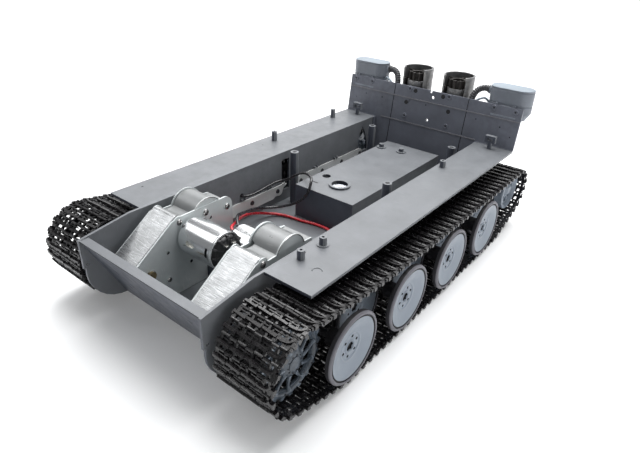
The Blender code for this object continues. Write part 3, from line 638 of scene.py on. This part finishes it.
def link_shape(pitch):
    """One track link: across the track in x, along it in y, and outwards in z."""
    bm = bmesh.new()
    half = pitch / 2
    hinge = 1.15
    for low, high in ((1.6, 7.6), (13.6, 19.4), (25.6, 31.4), (37.2, 41.6)):
        bar(bm, (low, half, hinge), (high, half, hinge), 1.05, 8)
    for low, high in ((8.0, 13.2), (19.8, 25.2), (31.8, 36.8)):
        bar(bm, (low, -half, hinge), (high, -half, hinge), 1.05, 8)
    bar(bm, (0.7, -half, hinge), (43.2, -half, hinge), 0.55, 6)
    webs = ((2.4, 2.4, 1.5), (7.0, 9.0, 0.9), (14.4, 12.4, 0.9), (18.6, 20.6, 0.9),
            (26.4, 24.4, 0.9), (30.6, 32.6, 0.9), (38.0, 36.0, 0.9), (40.8, 40.8, 1.4))
    for ahead, behind, wide in webs:
        bevelled_rib(bm, [(behind, -half + 0.3), (ahead, half - 0.3)], wide, 0.25, 1.75, 0, 0.8)
    bevelled_rib(bm, [(1.6, -0.2), (41.0, -0.2)], 0.9, 0.3, 1.6, 0, 0.9)
    grouser = 0.5
    for low, high in ((0.6, 10.2), (10.9, 21.4), (22.1, 32.2)):
        bevelled_rib(bm, [(low, grouser - 0.35), (high, grouser + 0.35)], 1.15, 0.9, 3.15, 1)
    sweep = [(32.9, 0.9), (36.0, 1.05), (38.6, 0.75), (40.6, -0.2), (41.8, -1.7), (42.2, -3.0)]
    bevelled_rib(bm, sweep, 0.95, 0.9, 3.0, 1)
    for low, high in ((4.0, 11.0), (16.0, 24.0), (28.0, 36.5)):
        bevelled_rib(bm, [(low, -2.5), (high, -2.1)], 0.45, 0.9, 2.1, 1)
    block(bm, (42.0, -1.2, 0.2), (44.3, 1.6, 2.6), 1)
    block(bm, (42.6, 1.9, 0.5), (43.8, 3.6, 2.0), 1)
    block(bm, (0.0, -1.0, 0.3), (1.3, 1.8, 2.4), 1)
    for across, thick in ((11.3, 0.95), (27.0, 0.55)):
        horn = [(-2.3, 0.6), (2.3, 0.6), (1.1, -4.8), (-1.1, -4.8)]
        side_prism(bm, horn, across - thick, across + thick)
    bmesh.ops.recalc_face_normals(bm, faces=bm.faces)
    bm.verts.index_update()
    verts = np.array([v.co for v in bm.verts])
    faces = [[v.index for v in f.verts] for f in bm.faces]
    slots = [f.material_index for f in bm.faces]
    bm.free()
    return verts, faces, slots


def track(name, side):
    pins, pitch = even_points(inner_line(), TRACK_LINKS)
    shape, faces, slots = link_shape(pitch)
    verts, all_faces = [], []
    for i, here in enumerate(pins):
        there = pins[(i + 1) % TRACK_LINKS]
        ahead = (there - here).normalized()
        outward = Vector((ahead.y, -ahead.x))
        middle = (here + there) / 2
        y = middle.x + shape[:, 1] * ahead.x + shape[:, 2] * outward.x
        z = middle.y + shape[:, 1] * ahead.y + shape[:, 2] * outward.y
        x = side * (TRACK_IN + shape[:, 0])
        first = i * len(shape)
        verts.append(np.stack([x, y, z], 1))
        for face in faces:
            ring = [first + k for k in face]
            all_faces.append(ring if side > 0 else ring[::-1])
    mesh = bpy.data.meshes.new("track_" + name)
    mesh.from_pydata((np.concatenate(verts) * MM).tolist(), [], all_faces)
    mesh.materials.append(FINISH["track"])
    mesh.materials.append(FINISH["track_worn"])
    mesh.polygons.foreach_set("material_index", slots * TRACK_LINKS)
    mesh.shade_smooth()
    mesh.set_sharp_from_angle(angle=math.radians(32))
    piece("track_links_" + name, mesh, "hull", ["track_" + name])


# ------------------------ road wheels and idlers
def drilled(bm, x_face, radius, count, hole, deep, hex_size):
    """Bolt holes and a six-sided recess in a wheel's outer face."""
    tool = bmesh.new()
    for y, z in circle(radius, count, 0.25):
        bar(tool, (x_face - deep, y, z), (x_face + 3, y, z), hole, 12, 2)
    bar(tool, (x_face - deep, 0, 0), (x_face + 3, 0, 0), hex_size, 6, 2)
    return subtract(bm, tool)


def wheel_mesh(face, hub, bore_end):
    """A dished disc in a grey band, with a hub ring; x is measured on the tank's left side."""
    low, high = extent("road_wheel_left_1")
    outer = (high - low).z / 2
    rim, bore = face - 4.5, 2.8
    dish = ((4.4, 0), (4.4, 3.0), (3.6, 3.5), (3.3, 4.3), (3.5, 4.9), (3.9, 5.3), (3.9, 8.8),
            (3.5, 9.2), (3.3, 9.7), (3.5, 10.3), (3.2, 11.8), (2.3, 15.0), (1.3, 18.4),
            (0.7, 21.2), (0.7, 21.6), (1.5, 21.8), (1.5, 22.2), (0.5, 22.4), (0.1, 22.8),
            (0.05, 23.3), (0.3, 24.0), (1.0, outer - 0.1), (1.5, outer))
    profile = [(face - deep, radius) for deep, radius in dish]
    profile += [(rim + 0.6, outer), (rim, outer - 0.6), (rim, 6.0), (hub, 6.0), (hub, bore),
                (bore_end, bore), (bore_end, 0)]
    finish = [0] * 13 + [2] * 4 + [1] * 5
    # The tread, the back of the disc and the hub take a near-black finish.
    finish += [3] * (len(profile) - 1 - len(finish))
    bm = bmesh.new()
    lathe(bm, profile, 64, slots=finish)
    bm = drilled(bm, face - 3.9, 7.1, 6, 1.05, 1.4, 3.4)
    return mesh_of("wheel", bm, ("wheel", "tyre", "dark", "near_black_tread"))


def road_wheels():
    for offset, face, hub, bore_end in ((0, 111.7, 93.0, 100.5), (1, 92.0, 76.0, 84.0)):
        for name, shape in both_sides(wheel_mesh(face, hub, bore_end)).items():
            for station in range(1 + offset, STATIONS + 1, 2):
                label = "%s_%d" % (name, station)
                turning_piece("wheel_disc_" + label, shape, "wheel_" + label,
                              "road_wheel_" + label)


def idlers():
    low, high = extent("idler_left")
    bore, rim = 3.3, (high - low).z / 2
    profile = [(101.6, 0), (101.6, 3.6), (100.6, 5.0), (99.0, 6.2), (99.0, 14.6), (101.4, 16.0),
               (102.0, 16.6), (102.0, rim - 0.5), (101.4, rim), (94.6, rim), (94.0, rim - 0.6),
               (94.0, 6.5), (74.0, 6.5), (74.0, rim - 0.6), (73.4, rim), (68.1, rim),
               (67.5, rim - 0.6), (67.5, 6.5), (64.0, 6.5), (64.0, bore), (72.6, bore), (72.6, 0)]
    bm = bmesh.new()
    lathe(bm, profile, 64)
    tool = bmesh.new()
    for y, z in circle(10.6, 8):
        for x in (70.0, 98.0):
            bar(tool, (x - 9, y, z), (x + 9, y, z), 2.9, 20)
    left = mesh_of("idler", subtract(bm, tool), ("wheel", "dark"))
    for name, shape in both_sides(left).items():
        turning_piece("idler_wheel_" + name, shape, "idler_" + name, "idler_" + name)


# ------------------------ sprockets
TEETH, TOOTH_ROOT, TOOTH_TIP = 20, 22.7, 25.3


def toothed_ring(bm, x0, x1, bore, slot=0):
    tooth = ((-0.5, TOOTH_ROOT), (-0.3, TOOTH_ROOT + 0.1), (-0.14, TOOTH_TIP - 0.3),
             (0.0, TOOTH_TIP), (0.14, TOOTH_TIP - 0.3), (0.3, TOOTH_ROOT + 0.1))
    outer = []
    for i in range(TEETH):
        for share, radius in tooth:
            angle = 2 * math.pi * (i + share) / TEETH
            outer.append((radius * math.cos(angle), radius * math.sin(angle)))
    inner = circle(bore, len(outer), -len(tooth) / 2)
    rings = [[bm.verts.new((x, *p)) for p in ring]
             for ring, x in ((outer, x0), (outer, x1), (inner, x1), (inner, x0))]
    skin(bm, rings, slot, closed=True)


def sprockets():
    bm = bmesh.new()
    # The back ring and the drum between the rings take the hole-shadow finish: painted shade
    # between the rings.
    toothed_ring(bm, 73.9, 75.6, 17.0, 1)
    toothed_ring(bm, 96.4, 98.1, 19.2)
    rim = [(96.0, 18.0), (96.0, 21.4), (98.4, 21.9), (99.3, 21.3), (99.5, 20.2), (99.0, 19.2),
           (98.2, 18.6), (98.2, 17.7), (97.0, 17.5)]
    lathe(bm, rim, 80, closed=True)
    hub = [(101.5, 0), (101.5, 3.4), (101.0, 4.6), (100.6, 4.8), (100.6, 6.4), (99.6, 8.4),
           (98.0, 9.6), (95.0, 10.4), (80.0, 11.5), (76.2, 17.6), (73.6, 17.6), (73.6, 9.0),
           (62.3, 9.0), (62.3, 0)]
    lathe(bm, hub, 48, slots=[0] * 7 + [1] * (len(hub) - 8))
    spokes = 10
    for i in range(spokes):
        turn = spin(360 * i / spokes)
        line = [(99.0, 7.6, 0.0), (98.9, 10.5, 0.25), (98.7, 13.5, 0.9), (98.4, 16.2, 1.9),
                (98.2, 18.6, 3.2)]
        tube(bm, [turn @ Vector(p) for p in line], [1.5, 1.15, 1.0, 1.1, 1.7], 10)
        bolt = turn @ Vector((99.2, 20.2, 0))
        bar(bm, bolt, bolt + Vector((0.7, 0, 0)), 0.55, 6, 1)
        nut = turn @ Vector((100.4, 5.6, 0))
        bar(bm, nut, nut + Vector((0.6, 0, 0)), 0.5, 6, 1)
    left = mesh_of("sprocket", bm, ("sprocket", "dark"))
    for name, shape in both_sides(left).items():
        turning_piece("sprocket_wheel_" + name, shape, "sprocket_" + name, "sprocket_" + name)


# ------------------------ hull tub
DECK_TOP = 73.3
BAY_FLOOR = 25.5
BOX_HALF_WIDTH, BOX_FRONT, BOX_REAR = 30.0, -9.8, 139.0
NOSE_FRONT, NOSE_TOP, NOSE_SLOPE = -190.0, 67.5, 0.503
FORWARD = -0.6                  # a face whose normal has less y than this looks forward and takes the painted shade
POST_TOPS = ((48.5, 9.8, 75.0), (-48.5, 9.8, 75.0), (45.5, 131.2, 71.0), (-45.5, 131.2, 71.0))


def nose_face(x, z, out=0.0):
    """A point on the front of the nose plate, or out from it."""
    lean = math.atan(NOSE_SLOPE)
    y = NOSE_FRONT + NOSE_SLOPE * (NOSE_TOP - z)
    return Vector((x, y - out * math.cos(lean), z - out * math.sin(lean)))


def hull_tub():
    """The tub with slots cut in its nose; its faces that look forward take a darker copy of the
    hull plastic, as painted shade.
    """
    bm = copy_of("hull_tub")
    tool = bmesh.new()
    for x, z, wide, high in ((-36.6, 47.7, 4.2, 0.8), (25.6, 43.1, 2.4, 0.6),
                             (33.3, 43.6, 4.0, 0.8)):
        ends = [nose_face(x + k * wide / 2, z - k * 0.5, out)
                for k, out in ((-1, 1.2), (1, 1.2), (1, -1.0), (-1, -1.0))]
        skin(tool, [[tool.verts.new(p + Vector((0, 0, level))) for p in ends]
                    for level in (-high / 2, high / 2)], 1)
    bm = subtract(bm, tool)
    bmesh.ops.triangulate(bm, faces=bm.faces)
    bm.normal_update()
    # Painted shade: faces that look forward take the darker copy of the hull plastic.
    for face in bm.faces:
        if face.material_index == 0 and face.normal.y < FORWARD:
            face.material_index = 2
    hull_piece("hull_moulding", bm, ("hull", "dark", "forward_shade"), ["hull_tub"], 0.35)


def hull_fittings():
    """Small marks on the guards and the nose, and lines where other parts meet the tub."""
    fittings = bmesh.new()
    bar(fittings, (67.0, -96.4, DECK_TOP - 0.2), (67.0, -96.4, DECK_TOP + 0.7), 4.1, 28)
    mark = [(x, y, DECK_TOP) for x, y in arc((82.6, -121.7), 3.0, 35, 215, 20)]
    tube(fittings, mark, 0.42, 8)
    for x, y, radius in ((64.3, -111.0, 0.8), (-87.5, -121.0, 0.8), (-84.0, 6.0, 0.6)):
        bar(fittings, (x, y, DECK_TOP - 0.5), (x, y, DECK_TOP + 0.06), radius, 14, 1)
    ring = [nose_face(x, z, 0.02) for x, z in arc((-29.4, 38.1), 1.9, 0, 360, 24)]
    tube(fittings, ring, 0.16, 6, 2)
    for x, y, z in POST_TOPS:
        bar(fittings, (x, y, z - 3.0), (x, y, z + 0.04), 1.5, 16, 1)
    block(fittings, (-24.5, 4.0, 55.8), (-17.2, 5.6, 56.06), 1)
    # Painted shadow: a thin dark line under the front edge of the nose strip.
    lip = nose_face(0, NOSE_TOP - 0.9, 0.02)
    bar(fittings, (-58.0, lip.y, lip.z), (58.0, lip.y, lip.z), 0.22, 8, 1)
    edge, low, high = BOX_HALF_WIDTH + 0.6, BAY_FLOOR - 0.2, BAY_FLOOR + 0.6
    block(fittings, (-edge, BOX_FRONT - 0.7, low), (edge, BOX_FRONT + 0.1, high), 2)
    block(fittings, (edge - 0.8, BOX_FRONT - 0.2, low), (edge, BOX_REAR, high), 2)
    hull_piece("hull_fittings", fittings, ("hull", "dark", "plate_line"), (), 0.12)


# ------------------------ rear plate
REAR_LEAN = math.radians(7.3)
REAR_Y = 155.8


def plate_matrix():
    """Plate coordinates: x across, y up the plate from the guards' level, z out at the front."""
    return shift(0, REAR_Y, DECK_TOP) @ Matrix.Rotation(math.pi / 2 - REAR_LEAN, 4, "X")


def up_plate(height):
    return (height - DECK_TOP) / math.cos(REAR_LEAN)


def plate_ring(bm, x, height, size):
    """A raised boss with a dark recess in its middle."""
    turn = plate_matrix() @ shift(x, up_plate(height), 0.0)
    out = turn @ spin(-90, "Y")
    lathe(bm, [(-0.1, 0.0), (-0.1, size), (0.45, size * 0.94), (0.7, size * 0.80),
               (0.7, size * 0.52), (0.35, size * 0.44), (0.35, 0.0)], 24, out)
    bar(bm, turn @ Vector((0, 0, 0.2)), turn @ Vector((0, 0, 0.42)), size * 0.36, 6, 1)


def rear_plate():
    """The rear plate with its two grooves and notch, raised lines, bosses and holes."""
    bm = copy_of("rear_plate")
    face = plate_matrix()
    tool = bmesh.new()
    for x in (-39.5, 42.5):
        block(tool, (x - 0.35, up_plate(30), -0.5), (x + 0.35, up_plate(113), 1.0), 1, face)
    block(tool, (0.6, up_plate(109.0), -3.0), (2.8, up_plate(113), 1.0), 0, face)
    bm = subtract(bm, tool)
    hull_piece("rear_plate_moulding", bm, ("plate", "dark"), ["rear_plate"], 0.25)
    bm = bmesh.new()
    low, high = extent("rear_plate")
    for height, x0, x1 in ((99.7, low.x + 0.3, high.x - 0.3), (74.9, -51.5, 57.0)):
        block(bm, (x0, up_plate(height) - 0.55, -0.3), (x1, up_plate(height) + 0.55, 0.45), 2,
              face)
    mirrored = [(side * x, height) for x, height in ((22, 109), (89, 108), (68.5, 108.3))
                for side in SIDES.values()]
    for x, height in mirrored + [(-23.3, 81.3), (24.3, 80.6)]:
        plate_ring(bm, x, height, 2.7)
    for x, height, radius in ((-24.0, 95.0, 2.2), (24.0, 95.0, 2.2), (-15.5, 108.0, 2.2),
                              (15.5, 108.0, 2.2), (-74, 94.7, 0.7), (78, 92, 0.8),
                              (-53.5, 94.4, 0.8), (53.5, 94.4, 0.7), (-1.3, 96.6, 0.8),
                              (89.5, 85, 0.7), (-86, 89, 0.5)):
        spot = face @ Vector((x, up_plate(height), 0.06))
        bar(bm, spot, face @ Vector((x, up_plate(height), -1.2)), radius, 16, 1)
    for side in SIDES.values():
        side_block(bm, side, (58.0, 95.4), (155.2, 156.8), (72.2, 73.8))
        side_block(bm, side, (57.5, 58.4), (151.0, 155.4), (27.0, 73.2))
    hull_piece("rear_plate_details", bm, ("plate", "dark", "plate_line"), (), 0.15)


# ------------------------ exhausts and air filters
def bent_wall(bm, centre, outer, inner, start, end, low, high, slot=0, steps=40):
    """An upright wall bent round a centre, from one angle to another."""
    prism(bm, arc(centre, outer, start, end, steps) + arc(centre, inner, end, start, steps),
          low, high, slot=slot)


def exhaust(name):
    """A pipe in a C-shaped shield whose gap faces the tank's front."""
    low, high = extent("exhaust_" + name)
    x, top = (low.x + high.x) / 2, high.z
    radius = (high.x - low.x) / 2
    y = high.y - radius
    bm = bmesh.new()
    start, end = -40, 220
    bent_wall(bm, (x, y), radius, radius - 1.3, start, end, 66.0, top - 1.2)
    bent_wall(bm, (x, y), radius, radius - 1.9, start - 2, end + 2, top - 1.3, top)
    bent_wall(bm, (x, y), radius - 1.6, radius - 3.2, start + 6, end - 6, 70.0, 116.5, 1, 30)
    bent_wall(bm, (x, y), 10.4, 9.2, 205, 335, 70.0, 116.0, 0, 20)
    upright = shift(x, y, 0) @ spin(-90, "Y")
    lathe(bm, [(58.0, 0), (58.0, radius - 2.4), (59.2, radius - 0.8), (69.0, radius - 0.8),
               (70.4, radius - 2.0), (70.4, 0)], 48, upright)
    lathe(bm, [(70.0, 0), (70.0, 7.4), (123.0, 7.4), (123.8, 6.9), (123.4, 6.0), (108.0, 5.8),
               (108.0, 0)], 40, upright, slots=1)
    for angle in (200, 235, 270, 305, 340, 20, 90, 160):
        reach = 10.0 if 195 < angle < 345 else radius - 1.0
        block(bm, (6.8, -0.55, 108.0), (reach, 0.55, 124.2), 1,
              shift(x, y, 0) @ spin(angle, "Z"))
    block(bm, (x - 9.0, low.y, 58.0), (x + 9.0, y, 68.0))
    hull_piece("exhaust_shield_" + name, bm, ("exhaust", "soot"), ["exhaust_" + name],
               0.18)


def stadium(x, y, half, radius):
    return arc((x + half, y), radius, -90, 90, 20) + arc((x - half, y), radius, 90, 270, 20)


def air_filter(name, side):
    x, y, top, bottom = side * 78.2, 173.6, extent("air_filter_" + name)[1].z, 98.0
    radius, half = 10.5, 10.0
    bm = bmesh.new()
    heights = ((bottom, 4.6), (98.6, 3.9), (104.6, 0.5), (105.4, 0.0), (112.0, 0.0),
               (112.3, 0.4), (113.0, 0.4), (113.3, 0.0), (top - 2.4, 0.0), (top - 2.1, 0.35),
               (top - 1.5, 0.35), (top - 1.2, 0.05), (top - 0.3, 0.1), (top, 0.5))
    skin(bm, [[bm.verts.new((u, v, z)) for u, v in stadium(x, y, half, radius - less)]
              for z, less in heights], [0] * (len(heights) - 2) + [1])
    front = y - radius
    block(bm, (x - 12.0, y - 14.2, 98.5), (x + 12.0, y, 103.0))
    block(bm, (x - 3.4, front - 1.8, 105.5), (x + 3.4, front + 1.5, 111.5))
    bar(bm, (x, front - 2.0, 108.5), (x, front, 108.5), 1.9, 20, 2)
    for offset in (-9.0, 8.0):
        block(bm, (x + offset - 1.0, front - 1.1, 108.5), (x + offset + 1.0, front + 1.0, 113.5))
    inner = x - side * (half + radius)
    route = smooth_route([(inner + side * 2.0, y, 120.5), (52.0 * side, y, 121.4),
                          (46.0 * side, y - 1.6, 119.0), (42.6 * side, y - 4.2, 113.0),
                          (42.0 * side, y - 5.4, 105.2)], 0.5)
    tube(bm, route, [3.2 if i % 4 < 2 else 2.75 for i in range(len(route))], 20, 3)
    loop = smooth_route([(inner + side * out, y - ahead, z) for out, ahead, z in
                         ((1.5, 4.0, 110.0), (-2.5, 6.0, 113.4), (-7.0, 7.6, 112.0),
                          (-12.0, 8.2, 108.6))], 0.8)
    tube(bm, loop, 1.15, 14, 1)
    bar(bm, (inner + side * 2.2, y, 120.4), (inner - side * 1.2, y, 121.0), 4.0, 24)
    bar(bm, (inner - side * 1.6, y, 121.1), (inner - side * 2.6, y, 121.2), 3.7, 24, 3)
    hull_piece("air_filter_drum_" + name, bm, ("filter", "filter_top", "dark", "hose"),
               ["air_filter_" + name], 0.15)


# ------------------------ gearboxes and motors
FRAME_IN, FRAME_OUT, FRAME_PLATE = 28.0, 51.5, 1.2
MOTOR_RADIUS, MOTOR_LENGTH = 13.85, 35.0
SHEET_THICK = 0.9
DIP_FRONT, DIP_REAR, DIP_STEP = -139.6, -121.0, 2.8     # where the sheet narrows by its motor
HUMP, HUMP_RADIUS, DISC_RADIUS = (-109.6, 65.6), 13.2, 14.2
EAR, EAR_RADIUS = (-135.0, 70.5), 4.4
TALL_PLATE = "right"            # this gearbox has the tall inner plate


def cover_path():
    """The bent sheet over a gearbox, from the nose backwards, in (y, z)."""
    foot = [(-172.4, 50.2), (-171.6, 51.6)]
    crest = arc((-136.2, 70.2), 4.8, 127, 44, 14)
    dip = [(-130.6, 71.8), (-129.4, 70.8), (-128.2, 70.3), (-127.0, 70.1), (-123.6, 70.1),
           (-122.8, 70.3)]
    hump = arc(HUMP, HUMP_RADIUS, 157, 18, 32)
    return foot + crest + dip + hump + [(-96.3, 69.1), (-95.2, 69.0), (-88.3, 68.9)]


def gearbox_cover(name, side):
    low, high = extent("gearbox_cover_" + name)
    path = [Vector(p) for p in cover_path()]
    near_motor = low.x if side > 0 else high.x
    bm = bmesh.new()
    rows = []
    for i, top in enumerate(path):
        motor_edge, track_edge = near_motor, low.x + high.x - near_motor
        if DIP_FRONT < top.x < DIP_REAR:
            share = (top.x - DIP_FRONT) / (DIP_REAR - DIP_FRONT)
            motor_edge += side * DIP_STEP * math.sin(math.pi * share / 2)
        left, right = sorted((motor_edge, track_edge))
        along = heading(path, i)
        below = top - Vector((-along.y, along.x)) * SHEET_THICK
        rows.append([bm.verts.new((left, *below)), bm.verts.new((right, *below)),
                     bm.verts.new((right, *top)), bm.verts.new((left, *top))])
    skin(bm, rows, [int(spot.x > -136.0) for spot in path[:-1]])
    hull_piece("gearbox_sheet_" + name, bm, ("ramp", "hump"), ["gearbox_cover_" + name],
               0.16, 40)


def frame_outline(tall):
    """A side plate: ramp edge, screw ear, then a straight top or the disc that ends the hump."""
    if tall:
        top = (arc(EAR, EAR_RADIUS, 140, 60, 10) + [(-98.6, 74.6)]
               + arc((-94.0, 67.4), 7.4, 96, -8, 12))
    else:
        top = (arc(EAR, EAR_RADIUS, 140, 6, 16) + [(-129.6, 71.0), (-122.6, 71.0)]
               + arc(HUMP, DISC_RADIUS, 156, 17, 30) + [(-88.4, 69.2)])
    return ([(-172.3, 50.6), (-141.0, 72.6)] + top
            + [(-86.5, 60.0), (-86.5, 25.9), (-114.2, 25.9), (-114.2, 14.9), (-156.0, 14.9)])


def washer_screw(bm, place, facing, radius):
    """A screw on a plain washer."""
    place, facing = Vector(place), Vector(facing)
    bar(bm, place, place + facing * 0.25, radius * 1.35, 28, 0)
    screw(bm, place + facing * 0.2, facing, radius, 1, 2)


def disc_rim(bm, x, radius, start, end):
    """The folded edge round a disc that ends a hump."""
    line = [(x, y, z) for y, z in arc(HUMP, radius, start, end, 40)]
    tube(bm, line, 0.38, 8, 1)


def gearbox_frame(name, side, motor):
    tall = name == TALL_PLATE
    bm = bmesh.new()
    x_in = sorted((side * (FRAME_IN - FRAME_PLATE), side * FRAME_IN))
    x_out = sorted((side * FRAME_OUT, side * (FRAME_OUT - 0.8)))
    side_prism(bm, frame_outline(tall), *x_in)
    side_prism(bm, frame_outline(False), *x_out)
    tool = bmesh.new()
    reach = (side * 24.0, side * 54.0)
    bar(tool, (reach[0], *motor), (side * 30.0, *motor), 5.4, 24)
    axle = PIN["sprocket_%s_spin" % name].yz
    bar(tool, (reach[0], *axle), (reach[1], *axle), 3.4, 20)
    for y, z in ((-107.8, 63.7), (-146.6, 51.4), (-99.0, 40.0), (-128.0, 36.0)):
        bar(tool, (reach[0], y, z), (side * 30.0, y, z), 1.2, 14, 2)
    bm = subtract(bm, tool)
    for y, z in ((-112.5, 62.0), (-93.0, 64.0), (-137.0, 30.0), (-92.0, 30.0)):
        bar(bm, (side * (FRAME_IN - 0.6), y, z), (side * (FRAME_OUT - 0.4), y, z), 2.2, 20)
    if tall:
        side_prism(bm, arc(HUMP, DISC_RADIUS, 180, 0, 40),
                   *sorted((side * (FRAME_IN - 0.7), side * FRAME_IN)))
        disc_rim(bm, side * (FRAME_IN - 0.5), DISC_RADIUS - 0.38, 152, 28)
    disc_rim(bm, side * (FRAME_OUT + 0.02), DISC_RADIUS - 0.4, 156, 17)
    inner = side * (FRAME_IN - FRAME_PLATE)
    for y, z, size in ((-111.8, 69.2, 2.5), (-91.8, 66.4, 2.5), (*EAR, 2.3),
                       (-160.6, 41.0, 2.6), (-148.0, 30.0, 1.9)):
        washer_screw(bm, (inner, y, z), (-side, 0, 0), size)
    outer = side * FRAME_OUT
    for y, z, size in ((*EAR, 2.4), (-160.6, 46.0, 2.3)):
        washer_screw(bm, (outer, y, z), (side, 0, 0), size)
    hull_piece("gearbox_plates_" + name, bm, ("zinc", "screw", "dark"),
               ["gearbox_frame_" + name], 0.1)


VENT_ANGLES = {"right": (281, 101), "left": (82, 262)}       # round the can, from the top


def drive_motor(name, side, motor):
    face = FRAME_IN - FRAME_PLATE - 0.3
    back = face - MOTOR_LENGTH
    bm = bmesh.new()
    place = shift(0, *motor)
    if side < 0:
        place = place @ spin(180, "Z")
    profile = [(FRAME_IN + 1.0, 0), (FRAME_IN + 1.0, 5.0), (face, 5.0), (face, 9.8),
               (face - 0.5, 11.6), (face - 1.6, 13.2), (face - 3.2, MOTOR_RADIUS),
               (back + 1.2, MOTOR_RADIUS), (back + 0.9, MOTOR_RADIUS - 0.35),
               (back + 0.3, MOTOR_RADIUS - 0.35), (back, MOTOR_RADIUS - 0.8), (back, 0)]
    lathe(bm, profile, 72, place)
    tool = bmesh.new()
    for angle in VENT_ANGLES[name]:
        turn = place @ spin(angle)
        prism(tool, stadium(0, 0, 2.2, 1.9), MOTOR_RADIUS - 1.4, MOTOR_RADIUS + 2,
              turn @ shift(back + 20.5, 0, 0), 2)
        prism(tool, stadium(0, 0, 2.4, 1.0), MOTOR_RADIUS - 2.2, MOTOR_RADIUS + 2,
              turn @ shift(back + 4.6, 0, 0) @ spin(90, "Z"), 1)
    bm = subtract(bm, tool)
    cap = ((-0.1, 0), (-0.1, 12.9), (0.7, 12.9), (0.8, 12.2), (1.6, 11.9), (2.4, 11.5),
           (3.0, 10.8), (3.0, 4.6), (3.3, 4.4), (3.3, 2.6), (2.6, 2.4), (2.6, 0))
    lathe(bm, [(back - deep, radius) for deep, radius in cap], 48, place, slots=1)
    for angle in range(0, 360, 30):
        turn = place @ spin(angle)
        block(bm, (back - 2.9, 11.3, -0.7), (back + 0.1, 13.2, 0.7), 1, turn)
        block(bm, (back - 3.3, 5.2, -0.35), (back - 2.8, 10.6, 0.35), 1, turn)
    bar(bm, place @ Vector((back - 4.0, 0, 0)), place @ Vector((back, 0, 0)), 1.0, 14, 2)
    for y in (-3.2, 3.2):
        block(bm, (back - 5.6, y - 1.2, 7.0), (back - 2.6, y + 1.2, 7.5), 2, place)
        block(bm, (back - 3.4, y - 1.7, 5.4), (back - 2.6, y + 1.7, 9.2), 1, place)
    for y in (-6.5, 6.5):
        spot = place @ Vector((face + 0.05, y, 0))
        bar(bm, spot, place @ Vector((face - 0.5, y, 0)), 1.0, 12, 1)
    hull_piece("motor_can_" + name, bm, ("can", "cap", "tin"), ["drive_motor_" + name],
               0.06)


# ------------------------ rails
RAILS = {"front": (-115.8, 8.6), "rear": (22.6, 132.6)}


def rail_outline(start, end, hooked):
    """One length of rail in (y, z); the front one ends in a forked hook."""
    low, high = 32.1, 43.9
    front = [(start, 35.0), (start + 1.4, low + 0.6), (start + 3.0, low)]
    if hooked:
        rear = ([(end - 17.5, low), (end - 15.5, low + 1.6)]
                + arc((end - 9.6, 37.4), 4.6, 240, 350, 8)
                + [(end - 3.8, 39.6), (end - 0.6, 40.6), (end, 42.0), (end - 2.2, 41.7),
                   (end - 3.4, 42.4), (end - 1.6, 43.9), (end - 4.0, 43.9), (end - 6.5, 43.0)])
    else:
        rear = arc((end - 5.9, 38.0), 5.9, -90, 90, 12)
    back = [(start + 3.0, high), (start + 1.4, high - 0.6), (start, high - 3.0)]
    return front + rear + back


def suspension_rail(name, side):
    xs = sorted((side * 56.95, side * 57.8))
    for end, (y0, y1) in RAILS.items():
        bm = bmesh.new()
        side_prism(bm, rail_outline(y0, y1, end == "front"), *xs)
        tool = bmesh.new()
        for station in range(1, STATIONS + 1):
            pivot = PIN["arm_%s_%d_swing" % (name, station)]
            if y0 < pivot.y < y1:
                bar(tool, (side * 55, pivot.y, pivot.z), (side * 60, pivot.y, pivot.z), 2.3, 20)
        bm = subtract(bm, tool)
        label = "%s_%s" % (end, name)
        hull_piece("rail_strip_" + label, bm, ("rail",), ["suspension_rail_" + label],
                   0.12)
    clips = bmesh.new()
    for station in range(2, STATIONS):
        pivot = PIN["arm_%s_%d_swing" % (name, station)]
        for offset in (-13.0, -9.0):
            side_block(clips, side, (56.2, 58.0), (pivot.y + offset, pivot.y + offset + 1.4),
                       (44.2, 46.4))
    hull_piece("rail_clips_" + name, clips, ("hull",), (), 0.2)


# ------------------------ carried-over nodes
def refinish():
    for name, node in frame["nodes"].items():
        if node.hide_render:
            continue
        # All but the gears take the near-black arm finish, which is partly painted shade behind the
        # rail holes.
        finish = "brass" if name.startswith(("motor_pinion", "output_gear")) else "arm"
        node.data.materials.clear()
        node.data.materials.append(FINISH[finish])


# ------------------------ assembly
make_camera()
FINISH = make_materials()
motor_lead("motor_lead_red", RED_ROUTE, "red")
motor_lead("motor_lead_black", BLACK_ROUTE, "black")
make_studio()
MOTORS = {name: PIN["pinion_%s_spin" % name].yz for name in SIDES}
hull_tub()
hull_fittings()
rear_plate()
for name, side in SIDES.items():
    track(name, side)
    exhaust(name)
    air_filter(name, side)
    gearbox_cover(name, side)
    gearbox_frame(name, side, MOTORS[name])
    drive_motor(name, side, MOTORS[name])
    suspension_rail(name, side)
road_wheels()
idlers()
sprockets()
refinish()
